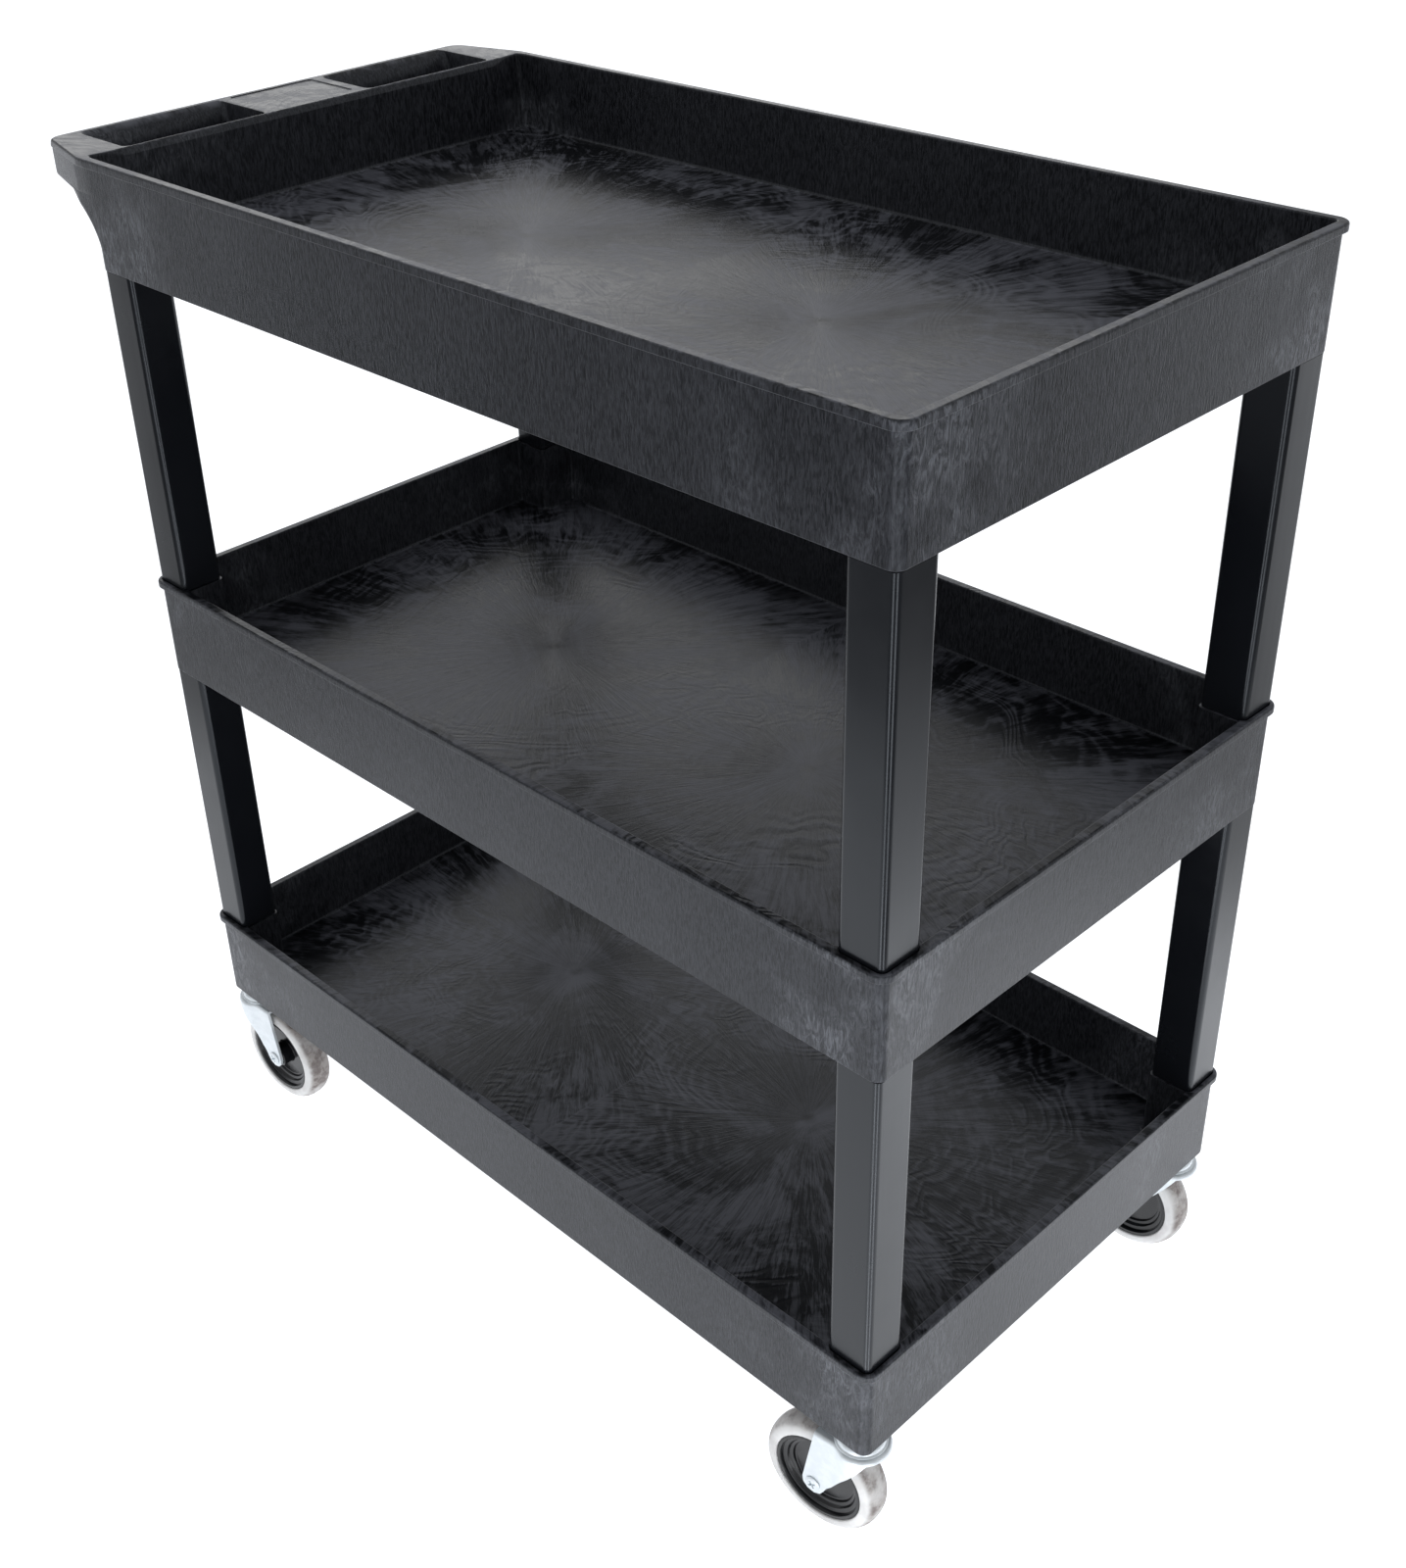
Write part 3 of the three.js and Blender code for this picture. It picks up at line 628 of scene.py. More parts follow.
def make_leg(level, corner):
    """A hollow square leg with rounded corners and eased ends."""
    node = f"{level}_leg_{corner}"
    low, high = box_mm(node)
    middle = (low + high) / 2
    half = (high.x - low.x) / 2
    plan = rectangle(half, half, LEG_RADIUS, middle.x, middle.y)
    bore = rectangle(half - LEG_WALL, half - LEG_WALL, LEG_RADIUS - LEG_WALL, middle.x, middle.y)
    rings = [outline(plan, grow, z, 6) for grow, z in (
        (-LEG_END_EASE, low.z), (0.0, low.z + LEG_END_EASE),
        (0.0, high.z - LEG_END_EASE), (-LEG_END_EASE, high.z),
    )]
    rings += [outline(bore, 0.0, high.z, 6), outline(bore, 0.0, low.z, 6)]
    made = loft(f"{node}_tube", rings, tube=True)
    smooth(made, 40.0)
    finish_piece(made, node, "cart", leg_plastic())


# ---------------------------------------------------------------- casters
# Each caster is made on its own swivel axis with its wheel trailing along +X, and then
# turned to its heading. Heights are above the floor.

CROWN_Z = JOINTS["swivel_front_right"]["pos_m"][2] / MM
WHEEL_RADIUS = JOINTS["roll_front_right"]["pos_m"][2] / MM
TRAIL = 30.0
FORK_PLATE = 2.8
FORK_TIP_RADIUS = 10.0
FORK_BEND = 3.2
FORK_FACE = 18.6
FORK_FLARE_Z = 58.0
FORK_FLARE_X = 13.0
FORK_BORE = 6.0
BEND_Z = CROWN_Z - FORK_BEND
CROWN_RADIUS = 23.4
CROWN_EDGE_DROP = 0.8
CROWN_SHARES = (0.0, 0.35, 0.7, 1.0)
ARM_REAR_X = 30.5
ARM_FRONT_X = -16.0
ARM_FRONT_EDGE = [
    (13.5, 58.5), (9.3, 65.2), (5.0, 71.8), (0.0, 79.0), (-5.5, 87.0), (-10.5, 94.5), (-14.0, 100.0),
]
SIDE_COLUMNS = 16
FRONT_COLUMNS = 14
SKIRT_ROWS = 14
CROWN_ATTRIBUTE = "crown"


def ease(share):
    """0 to 1 with a slow start and a slow end."""
    return share * share * (3 - 2 * share)


def fork_face_y(x, z):
    """How far the fork's outer face stands from the wheel's middle plane."""
    lift = ease(hold((z - FORK_FLARE_Z) / (BEND_Z - FORK_FLARE_Z)))
    radius = FORK_FACE + (CROWN_RADIUS - FORK_FACE) * lift
    if x <= 0:
        return math.sqrt(max(radius ** 2 - x ** 2, 1.0))
    return FORK_FACE + (radius - FORK_FACE) * (1 - ease(min(x / FORK_FLARE_X, 1.0)))


def fork_lower_edge():
    """(x, z) points round the rounded tip and up the leading edge of a fork arm."""
    path = []
    for step in range(13):
        angle = math.radians(8.0 - 190.0 * step / 12)
        x = TRAIL + FORK_TIP_RADIUS * math.cos(angle)
        path.append((x, WHEEL_RADIUS + FORK_TIP_RADIUS * math.sin(angle)))
    return path + ARM_FRONT_EDGE + [(ARM_FRONT_X, BEND_Z - CROWN_EDGE_DROP)]


def along(path, fraction):
    """The point this fraction of the way along a path."""
    lengths = [(Vector(b) - Vector(a)).length for a, b in zip(path, path[1:])]
    left = fraction * sum(lengths)
    for (a, b), length in zip(zip(path, path[1:]), lengths):
        if left <= length:
            return Vector(a).lerp(Vector(b), left / length)
        left -= length
    return Vector(path[-1])


def fork_columns():
    """For each column round the fork: its top point, its lower end if on an arm, and its normal."""
    edge = fork_lower_edge()
    columns = []
    for i in range(SIDE_COLUMNS + 1):
        share = i / SIDE_COLUMNS
        x = ARM_REAR_X + (ARM_FRONT_X - ARM_REAR_X) * share
        columns.append([Vector((x, -fork_face_y(x, BEND_Z))), along(edge, share)])
    start = math.atan2(columns[-1][0].y, columns[-1][0].x)
    sweep = -2 * math.pi - 2 * start
    for i in range(1, FRONT_COLUMNS):
        angle = start + sweep * i / FRONT_COLUMNS
        columns.append([Vector((CROWN_RADIUS * math.cos(angle), CROWN_RADIUS * math.sin(angle))), None])
    columns += [[Vector((point.x, -point.y)), low] for point, low in reversed(columns[:SIDE_COLUMNS + 1])]
    for i, column in enumerate(columns):
        before = columns[max(i - 1, 0)][0]
        after = columns[min(i + 1, len(columns) - 1)][0]
        heading = (after - before).normalized()
        normal = Vector((-heading.y, heading.x))
        column.append(-normal if normal.dot(column[0]) < 0 else normal)
    return columns


def fork_column_points(top, low, normal):
    """The points down one column: over the crown, round the bend and down the arm."""
    inner = top - normal * FORK_BEND
    toward = inner.normalized() * FORK_BORE
    points = [(*toward.lerp(inner, share), CROWN_Z) for share in CROWN_SHARES]
    for step in range(1, 5):
        angle = math.pi / 2 * step / 4
        spot = top - normal * FORK_BEND * (1 - math.sin(angle))
        points.append((*spot, CROWN_Z - FORK_BEND * (1 - math.cos(angle))))
    for step in range(1, SKIRT_ROWS + 1):
        share = step / SKIRT_ROWS
        if low is None:
            points.append((*top, BEND_Z - CROWN_EDGE_DROP * share))
            continue
        x = top.x + (low.x - top.x) * share
        z = BEND_Z + (low.y - BEND_Z) * share
        points.append((x, math.copysign(fork_face_y(x, z), top.y), z))
    return points


def fork_rear_lines(first):
    """Lines of points over the flat crown behind the bore, from one arm's first column to the other's."""
    start = math.atan2(first[0][1], first[0][0])
    steps = 6
    lines = []
    for step in range(1, steps):
        across = 1 - 2 * step / steps
        inner = Vector((FORK_BORE * math.cos(start * across), FORK_BORE * math.sin(start * across)))
        outer = Vector((first[-1][0], first[-1][1] * across))
        lines.append([(*inner.lerp(outer, share), CROWN_Z) for share in CROWN_SHARES])
    return lines


def sheet_faces(lines):
    """Four-sided faces between neighbouring lines of point numbers."""
    faces = []
    for left, right in zip(lines, lines[1:]):
        for i in range(len(left) - 1):
            faces.append((left[i], left[i + 1], right[i + 1], right[i]))
    return faces


def make_fork_shell():
    """The pressed steel fork as one sheet: a flat crown bent down into two arms."""
    columns = [fork_column_points(*column) for column in fork_columns()]
    lines = columns + fork_rear_lines(columns[0][:len(CROWN_SHARES)])
    points = [point for line in lines for point in line]
    numbers = []
    for line in lines:
        start = numbers[-1][-1] + 1 if numbers else 0
        numbers.append(list(range(start, start + len(line))))
    crown_first = numbers[0][:len(CROWN_SHARES)]
    crown_last = numbers[len(columns) - 1][:len(CROWN_SHARES)]
    faces = sheet_faces(numbers[:len(columns)])
    faces += sheet_faces([crown_first, *numbers[len(columns):], crown_last])
    made = fix_normals(make_object("fork", points, faces))
    edit(made, lambda bm: bmesh.ops.remove_doubles(bm, verts=bm.verts, dist=2e-5))
    fix_normals(made)
    if made.data.polygons[0].normal.z < 0:
        made.data.flip_normals()
    thicken = made.modifiers.new("plate", "SOLIDIFY")
    thicken.thickness = FORK_PLATE * MM
    thicken.offset = -1.0
    thicken.use_even_offset = True
    return settle(made)


def turn_to_axle(made):
    """Lays a piece made about Z along Y, and moves it to the axle."""
    made.data.transform(Matrix.Rotation(-math.pi / 2, 4, "X"))
    made.data.transform(Matrix.Translation(Vector((TRAIL, 0.0, WHEEL_RADIUS)) * MM))
    return made


def make_socket():
    """The plastic sleeve: a flange under the post, and a barrel in its bore."""
    top = 117.7
    return lathe("socket", [
        (5.8, top - 1.7), (14.4, top - 1.7), (15.0, top - 1.4), (15.0, top - 0.5), (14.7, top - 0.3),
        (9.5, top - 0.3), (9.5, top + 45.0), (8.5, top + 46.0), (5.8, top + 46.0),
    ], 40)


def make_stem():
    """The upright stem, riveted over under the fork's crown."""
    return lathe("stem", [
        (0.0, 99.8), (5.0, 99.8), (7.4, 100.6), (8.0, 102.0), (8.0, 103.9), (5.5, 104.2),
        (5.5, 160.0), (4.0, 162.0), (0.0, 162.0),
    ], 40, closed=False)


def make_raceway():
    """The dished upper raceway: an inverted cup with a sloping brim."""
    top = 115.7
    rim = CROWN_Z + 0.25
    outside = [
        (20.4, rim), (20.4, rim + 0.6), (19.9, rim + 1.1), (19.0, rim + 1.6),
        (18.6, rim + 3.2), (18.0, rim + 4.6), (16.8, rim + 5.6), (14.0, rim + 6.4), (11.5, top), (5.8, top),
    ]
    inside = [
        (5.8, top - 2.0), (11.0, top - 2.0), (14.0, rim + 4.3), (16.4, rim + 3.8),
        (17.2, rim + 2.6), (17.6, rim + 0.9), (18.5, rim),
    ]
    return lathe("raceway", outside + inside, 56)


def make_ball_race():
    """The ring of balls in their cage."""
    race_radius = 12.25
    low = CROWN_Z + 0.3
    made = lathe("cage", [(10.6, low + 1.6), (13.9, low + 1.6), (13.9, low + 2.8), (10.6, low + 2.8)], 48)
    count = 16
    for i in range(count):
        angle = 2 * math.pi * i / count
        bpy.ops.mesh.primitive_uv_sphere_add(segments=16, ring_count=10, radius=2.15 * MM)
        ball = bpy.context.object
        shift(ball, race_radius * math.cos(angle), race_radius * math.sin(angle), low + 2.2)
        absorb(made, ball)
    return made


def absorb(target, other):
    """Adds another object's mesh to a mesh as a loose part, and removes the object."""
    edit(target, lambda bm: bm.from_mesh(other.data))
    bpy.data.objects.remove(other)


def make_bolt():
    """The axle bolt: a low pan head with a cross recess, and a plain shank."""
    head = FORK_FACE + 0.3
    end = -(FORK_FACE + 6.5)
    made = lathe("bolt", [
        (0.0, end), (3.2, end), (4.0, end + 0.8), (4.0, head - 0.1), (6.3, head - 0.1), (6.5, head + 0.2),
        (6.4, head + 0.8), (5.8, head + 1.35), (4.6, head + 1.65), (2.5, head + 1.78), (0.0, head + 1.8),
    ], 48, closed=False)
    arms = []
    for turn in (0.0, math.pi / 2):
        slot = stack("slot", rectangle(3.7, 0.85, 0.4), [(-0.3, head - 0.6), (0.15, head + 2.5)], 3)
        arms.append(shift(slot, turn=turn + 0.6))
    return turn_to_axle(cut(made, *arms))


def make_nut():
    """The hexagonal nut with chamfered corners."""
    inner = -(FORK_FACE + 0.3)
    outer = inner - 5.0
    low = outer - 0.01
    high = inner + 0.01
    hexagon = [(7.2 * math.cos(math.pi / 3 * i), 7.2 * math.sin(math.pi / 3 * i)) for i in range(6)]
    block = loft("nut", [[(x, y, z) for x, y in hexagon] for z in (outer, inner)])
    chamfer = [(0.0, low), (6.1, low), (7.3, outer + 0.9), (7.3, high), (0.0, high)]
    combine(block, [lathe("chamfer", chamfer, 36, closed=False)], "INTERSECT")
    bore = [(0.0, outer - 1.0), (4.3, outer - 1.0), (4.3, inner + 1.0), (0.0, inner + 1.0)]
    return turn_to_axle(cut(block, lathe("drill", bore, 32, closed=False)))


def make_sleeve():
    """The plain bearing that the hub turns on."""
    half = 15.5
    return turn_to_axle(lathe("sleeve", [
        (4.3, -half), (6.0, -half), (6.3, -half + 0.3), (6.3, half - 0.3), (6.0, half), (4.3, half),
    ], 36))


def make_hub():
    """The hub: a boss, a web, a stepped well and a thin rim lip."""
    half = [
        (6.6, 15.2), (10.2, 15.2), (11.0, 14.4), (11.3, 5.0), (12.3, 3.4),
        (26.2, 3.0), (27.4, 3.6), (27.9, 5.0), (28.4, 5.6), (30.2, 5.8), (30.9, 6.4), (31.5, 8.0),
        (32.0, 8.5), (34.0, 8.7), (34.7, 9.2), (35.4, 11.9), (36.0, 12.5), (37.4, 12.5), (38.3, 12.2),
        (38.6, 11.4),
    ]
    mirrored = [(radius, -height) for radius, height in reversed(half)]
    return turn_to_axle(lathe("hub", half + mirrored, 96))


def make_tread():
    """The soft tyre: a broad ring with a round crown."""
    inner = 38.9
    shoulder = 41.0
    half_width = 13.6
    squareness = 2 / 2.3
    profile = [(inner, 11.9), (inner + 0.2, 12.9), (inner + 0.9, 13.5)]
    steps = 18
    for step in range(steps + 1):
        angle = math.pi * step / steps
        across = math.copysign(abs(math.cos(angle)) ** squareness, math.cos(angle))
        out = math.sin(angle) ** squareness
        profile.append((shoulder + (WHEEL_RADIUS - shoulder) * out, half_width * across))
    profile += [(inner + 0.9, -13.5), (inner + 0.2, -12.9), (inner, -11.9)]
    made = lathe("tread", profile, 112)
    mark_crown(made, 44.0)
    return turn_to_axle(made)


def mark_crown(made, start):
    """Stores how near each point of the tread is to its crown, from 0 at the start radius to 1."""
    crown = made.data.attributes.new(CROWN_ATTRIBUTE, "FLOAT", "POINT")
    for vertex, value in zip(made.data.vertices, crown.data):
        value.value = hold((vertex.co.xy.length / MM - start) / (WHEEL_RADIUS - start))


CASTER_PIECES = (
    ("caster_socket", make_socket, "socket", "cart"),
    ("caster_stem", make_stem, "steel", "cart"),
    ("caster_raceway", make_raceway, "zinc", "cart"),
    ("caster_ball_race", make_ball_race, "steel", "cart"),
    ("caster_fork", make_fork_shell, "zinc", "swivel"),
    ("axle_bolt", make_bolt, "zinc", "swivel"),
    ("axle_nut", make_nut, "zinc", "swivel"),
    ("axle_sleeve", make_sleeve, "steel", "swivel"),
    ("wheel_hub", make_hub, "hub", "wheel"),
    ("wheel_tread", make_tread, "tread", "wheel"),
)


def caster_heading(corner):
    """The angle of the line from a swivel axis to its wheel's axle."""
    swivel = Vector(JOINTS[f"swivel_{corner}"]["pos_m"])
    roll = Vector(JOINTS[f"roll_{corner}"]["pos_m"])
    return math.atan2(roll.y - swivel.y, roll.x - swivel.x)


def make_casters():
    """One pattern of each caster piece, copied to the four corners."""
    bodies = {"cart": "cart", "swivel": "swivel_{}", "wheel": "wheel_{}"}
    finishes = {
        "socket": socket_plastic,
        "steel": plain_steel,
        "zinc": zinc_plate,
        "hub": hub_plastic,
        "tread": tread_rubber,
    }
    for name, make, slot, body in CASTER_PIECES:
        pattern = smooth(make(), 35.0)
        for corner in CORNERS:
            made = pattern.copy()
            made.data = pattern.data.copy()
            bpy.context.scene.collection.objects.link(made)
            made.name = f"{name}_{corner}_detail"
            made.data.name = made.name
            if name in ("axle_bolt", "axle_nut") and corner in BOLT_TURNED_ROUND:
                spin = Matrix.Translation((TRAIL * MM, 0, 0)) @ Matrix.Rotation(math.pi, 4, "Z")
                made.data.transform(spin @ Matrix.Translation((-TRAIL * MM, 0, 0)))
            place = Vector(JOINTS[f"swivel_{corner}"]["pos_m"]) / MM
            shift(made, place.x, place.y, 0.0, caster_heading(corner))
            finish_piece(made, f"{name}_{corner}", bodies[body].format(corner), finishes[slot]())
        bpy.data.objects.remove(pattern)


# ---------------------------------------------------------------- materials

_materials = {}


def once(build):
    """Makes a material the first time that it is asked for, by running build(nodes)."""
    def ask():
        name = build.__name__
        if name not in _materials:
            nodes = Nodes(bpy.data.materials.new(name))
            build(nodes)
            _materials[name] = nodes.owner
        return _materials[name]
    return ask


class Nodes:
    """A small helper for the node tree of a material or a world."""

    def __init__(self, owner, shader="Principled BSDF", coords="Object"):
        self.owner = owner
        owner.use_nodes = True
        self.tree = owner.node_tree
        self.shader = self.tree.nodes[shader]
        self.coords = self.add("ShaderNodeTexCoord").outputs[coords]

    def add(self, kind, **settings):
        node = self.tree.nodes.new(kind)
        for key, value in settings.items():
            setattr(node, key, value)
        return node

    def feed(self, socket, value):
        """Gives a socket a constant, or links another socket to it."""
        if isinstance(value, bpy.types.NodeSocket):
            self.tree.links.new(value, socket)
        else:
            socket.default_value = value

    def set(self, **values):
        """Sets constants on the shader's own sockets, with _ for a space."""
        for name, value in values.items():
            self.shader.inputs[name.replace("_", " ")].default_value = value

    def to(self, name, source):
        self.tree.links.new(source, self.shader.inputs[name])

    def stretch(self, scale, turn=(0.0, 0.0, 0.0)):
        """Texture coordinates scaled along each axis."""
        node = self.add("ShaderNodeMapping")
        self.feed(node.inputs["Scale"], scale)
        self.feed(node.inputs["Rotation"], turn)
        self.feed(node.inputs["Vector"], self.coords)
        return node.outputs["Vector"]

    def noise(self, scale, detail=4.0, rough=0.5, vector=None, distortion=0.0):
        node = self.add("ShaderNodeTexNoise")
        self.feed(node.inputs["Scale"], scale)
        self.feed(node.inputs["Detail"], detail)
        self.feed(node.inputs["Roughness"], rough)
        self.feed(node.inputs["Distortion"], distortion)
        self.feed(node.inputs["Vector"], vector or self.coords)
        return node.outputs["Fac"]

    def math(self, operation, *values, clamp=False):
        node = self.add("ShaderNodeMath", operation=operation, use_clamp=clamp)
        for socket, value in zip(node.inputs, values):
            self.feed(socket, value)
        return node.outputs[0]

    def plus(self, first, second, clamp=False):
        return self.math("ADD", first, second, clamp=clamp)

    def minus(self, first, second, clamp=False):
        return self.math("SUBTRACT", first, second, clamp=clamp)

    def times(self, first, second):
        return self.math("MULTIPLY", first, second)

    def vector(self, operation, *values):
        """A vector operation. Gives its outputs: [0] is a vector, and ["Value"] a number."""
        node = self.add("ShaderNodeVectorMath", operation=operation)
        for socket, value in zip(node.inputs, values):
            self.feed(socket, value)
        return node.outputs

    def split(self, vector):
        """The X, Y and Z of a vector."""
        node = self.add("ShaderNodeSeparateXYZ")
        self.feed(node.inputs[0], vector)
        return node.outputs

    def gather(self, *values):
        """A vector from its X, Y and Z."""
        node = self.add("ShaderNodeCombineXYZ")
        for socket, value in zip(node.inputs, values):
            self.feed(socket, value)
        return node.outputs[0]

    def fit(self, value, low, high, new_low=0.0, new_high=1.0, kind="SMOOTHSTEP"):
        """Maps low..high onto new_low..new_high, clamped."""
        node = self.add("ShaderNodeMapRange", interpolation_type=kind)
        names = ("From Min", "From Max", "To Min", "To Max")
        for name, number in zip(names, (low, high, new_low, new_high)):
            self.feed(node.inputs[name], number)
        self.feed(node.inputs["Value"], value)
        return node.outputs["Result"]

    def blend(self, factor, first, second):
        """Mixes two numbers."""
        node = self.add("ShaderNodeMix", data_type="FLOAT")
        for socket, value in zip((node.inputs[0], node.inputs[2], node.inputs[3]), (factor, first, second)):
            self.feed(socket, value)
        return node.outputs[0]

    def mix(self, factor, first, second):
        """Mixes two colours; each is a tuple or a colour socket."""
        node = self.add("ShaderNodeMix", data_type="RGBA")
        self.feed(node.inputs["Factor"], factor)
        for name, colour in (("A", first), ("B", second)):
            socket = next(s for s in node.inputs if s.name == name and s.type == "RGBA")
            self.feed(socket, (*colour, 1.0) if isinstance(colour, tuple) else colour)
        return next(s for s in node.outputs if s.type == "RGBA")

    def bump(self, height, distance, strength, under=None):
        node = self.add("ShaderNodeBump")
        self.feed(node.inputs["Strength"], strength)
        self.feed(node.inputs["Distance"], distance)
        self.feed(node.inputs["Height"], height)
        if under:
            self.feed(node.inputs["Normal"], under)
        return node.outputs["Normal"]


GATE_X = 0.150
TRAY_BLACK = (0.0042, 0.0048, 0.0062)
# The pale colour of the flow marks, which also paints the sheen of the black plastic.
TRAY_MARKS_AND_SHEEN = (0.100, 0.104, 0.122)
TRAY_SPLAY = (0.20, 0.21, 0.235)


class FloorFlow:
    """Coordinates of the flow round the two moulding gates of a tray floor, in metres."""

    def __init__(self, nodes):
        self.nodes = nodes
        x, y, self.height = nodes.split(nodes.vector("SUBTRACT", nodes.coords, (TRAY_X * MM, 0.0, 0.0))[0])
        wander = nodes.noise(5.0, 3.0, 0.5)
        lengthwise = nodes.minus(nodes.plus(x, nodes.times(wander, 0.03)), 0.015)
        self.half = nodes.math("SIGN", lengthwise)
        self.from_weld = nodes.math("ABSOLUTE", lengthwise)
        from_gate = nodes.gather(nodes.minus(self.from_weld, GATE_X), y)
        self.radius = nodes.vector("LENGTH", from_gate)["Value"]
        self.direction = nodes.vector("NORMALIZE", from_gate)[0]
        to_end = nodes.minus(nodes.math("ABSOLUTE", x), HALF_LENGTH * MM)
        to_side = nodes.minus(nodes.math("ABSOLUTE", y), HALF_WIDTH * MM)
        self.from_corner = nodes.vector("LENGTH", nodes.gather(to_end, to_side))["Value"]

    def vector(self, around, outward, shift=0.0):
        """Texture coordinates with one scale round the gate and another away from it."""
        nodes = self.nodes
        scaled = nodes.vector("MULTIPLY", self.direction, (around, around, around))[0]
        away = nodes.plus(nodes.times(self.radius, outward), nodes.times(self.half, 7.0))
        away = nodes.plus(away, nodes.times(self.height, 23.0))
        return nodes.vector("ADD", scaled, nodes.gather(shift, 0.0, away))[0]


def facing_up(nodes):
    """1 on level surfaces that face up or down, 0 on upright ones."""
    normal = nodes.split(nodes.add("ShaderNodeNewGeometry").outputs["Normal"])
    return nodes.fit(nodes.math("ABSOLUTE", normal["Z"]), 0.6, 0.9)


def flow_hairs(nodes, flow):
    """Coarse and fine hairs along the flow, evened out at the gate."""
    coarse = nodes.noise(1.0, 3.0, 0.6, flow.vector(24.0, 16.0), distortion=0.6)
    fine = nodes.noise(1.0, 3.0, 0.7, flow.vector(75.0, 45.0, 5.0), distortion=0.8)
    hairs = nodes.plus(nodes.times(coarse, 0.45), nodes.times(fine, 0.55))
    faded = nodes.times(hairs, nodes.fit(flow.radius, 0.0, 0.05, 0.3, 1.0))
    return nodes.plus(faded, nodes.fit(flow.radius, 0.0, 0.05, 0.36, 0.0))


def floor_marks(nodes, flow):
    """The pale marks of a tray's floor, which also paint its sheen, and its relief: clouds, hairs, ripples,
    weld line and gates.
    """
    hairs = flow_hairs(nodes, flow)
    swirl = nodes.noise(7.0, 3.0, 0.5, distortion=1.4)
    waves = nodes.plus(nodes.times(flow.radius, 62.0), nodes.times(swirl, 13.0))
    ripples = nodes.times(nodes.math("PINGPONG", waves, 0.5), 2.0)
    where = nodes.fit(nodes.noise(7.0, 4.0, 0.6, nodes.stretch((1.0, 1.0, 3.0))), 0.42, 0.56)
    where = nodes.times(where, nodes.fit(flow.radius, 0.04, 0.09))
    relief = nodes.plus(hairs, nodes.times(nodes.times(ripples, where), 0.35))

    # The pale marks carry painted sheen as well as flow marks: lighter clouds, hairs and ripples.
    clouds = nodes.fit(nodes.noise(8.0, 7.0, 0.68, distortion=1.1), 0.40, 0.60, -0.28, 0.50)
    pale_marks_and_sheen = nodes.plus(clouds, nodes.fit(hairs, 0.40, 0.58, -0.12, 0.56))
    pale_marks_and_sheen = nodes.plus(pale_marks_and_sheen, nodes.times(where, nodes.fit(ripples, 0.3, 0.95, -0.14, 0.36)))
    # A brighter halo round each gate: flow marks and painted sheen.
    gate_halo_and_sheen = nodes.fit(flow.radius, 0.008, 0.07, 0.22, 0.0)
    weld = nodes.fit(flow.from_weld, 0.0004, 0.0018, 0.25, 0.0)
    pale_marks_and_sheen = nodes.plus(pale_marks_and_sheen, nodes.plus(gate_halo_and_sheen, weld), clamp=True)
    gate = nodes.fit(flow.radius, 0.0015, 0.009, 0.45, 0.0)
    return nodes.minus(pale_marks_and_sheen, gate, clamp=True), relief


def wall_splay(nodes, flow):
    """Pale feathery scuffs in patches, mostly near the tray's corners."""
    feathers = nodes.stretch((150.0, 150.0, 48.0), turn=(0.6, 0.6, 0.0))
    scuffs = nodes.noise(1.0, 4.0, 0.7, feathers, distortion=2.4)
    patches = nodes.fit(nodes.noise(9.0, 3.0, 0.6), 0.42, 0.62)
    patches = nodes.times(patches, nodes.fit(flow.from_corner, 0.02, 0.17, 1.0, 0.10))
    return nodes.times(patches, nodes.fit(scuffs, 0.40, 0.68, 0.04, 0.60))


@once
def tray_plastic(nodes):
    """Black structural foam: flow marks on level surfaces, fine upright streaks on the walls, both pale in
    the base colour, which also paints the plastic's sheen.
    """
    nodes.set(Specular_IOR_Level=0.30, Specular_Tint=(0.90, 0.94, 1.0, 1.0))
    level = facing_up(nodes)
    upright = nodes.minus(1.0, level)
    flow = FloorFlow(nodes)
    floor_marks_and_sheen, relief = floor_marks(nodes, flow)
    streaks = nodes.noise(1.0, 3.0, 0.65, nodes.stretch((640.0, 640.0, 130.0)), distortion=0.7)
    # The pale upright streaks also paint the walls' sheen.
    wall_streaks_and_sheen = nodes.fit(streaks, 0.36, 0.64, 0.01, 0.27)

    pale_marks_and_sheen = nodes.blend(level, wall_streaks_and_sheen, floor_marks_and_sheen)
    splay = nodes.times(wall_splay(nodes, flow), upright)
    nodes.to("Base Color", nodes.mix(splay, nodes.mix(pale_marks_and_sheen, TRAY_BLACK, TRAY_MARKS_AND_SHEEN), TRAY_SPLAY))
    nodes.to("Roughness", nodes.fit(pale_marks_and_sheen, 0.0, 0.8, 0.30, 0.44, "LINEAR"))

    grain = nodes.bump(nodes.noise(800.0, 2.0, 0.5), 0.00008, 0.7)
    floor_bump = nodes.bump(nodes.times(relief, level), 0.0005, 0.8, grain)
    nodes.to("Normal", nodes.bump(nodes.times(streaks, upright), 0.0004, 0.8, floor_bump))


@once
def leg_plastic(nodes):
    """Smooth satin black plastic with a faint lengthwise draw."""
    nodes.set(Base_Color=(0.0045, 0.0052, 0.0070, 1.0))
    nodes.set(Specular_IOR_Level=0.42, Specular_Tint=(0.88, 0.94, 1.0, 1.0))
    draw = nodes.noise(140.0, 3.0, 0.5, nodes.stretch((1.0, 1.0, 0.03)))
    nodes.to("Roughness", nodes.fit(nodes.noise(14.0, 4.0, 0.6), 0.3, 0.7, 0.18, 0.28))
    nodes.to("Normal", nodes.bump(draw, 0.0001, 0.4))


@once
def socket_plastic(nodes):
    """Dull black plastic."""
    nodes.set(Base_Color=(0.006, 0.006, 0.007, 1.0))
    nodes.to("Roughness", nodes.fit(nodes.noise(200.0), 0.3, 0.7, 0.4, 0.6))


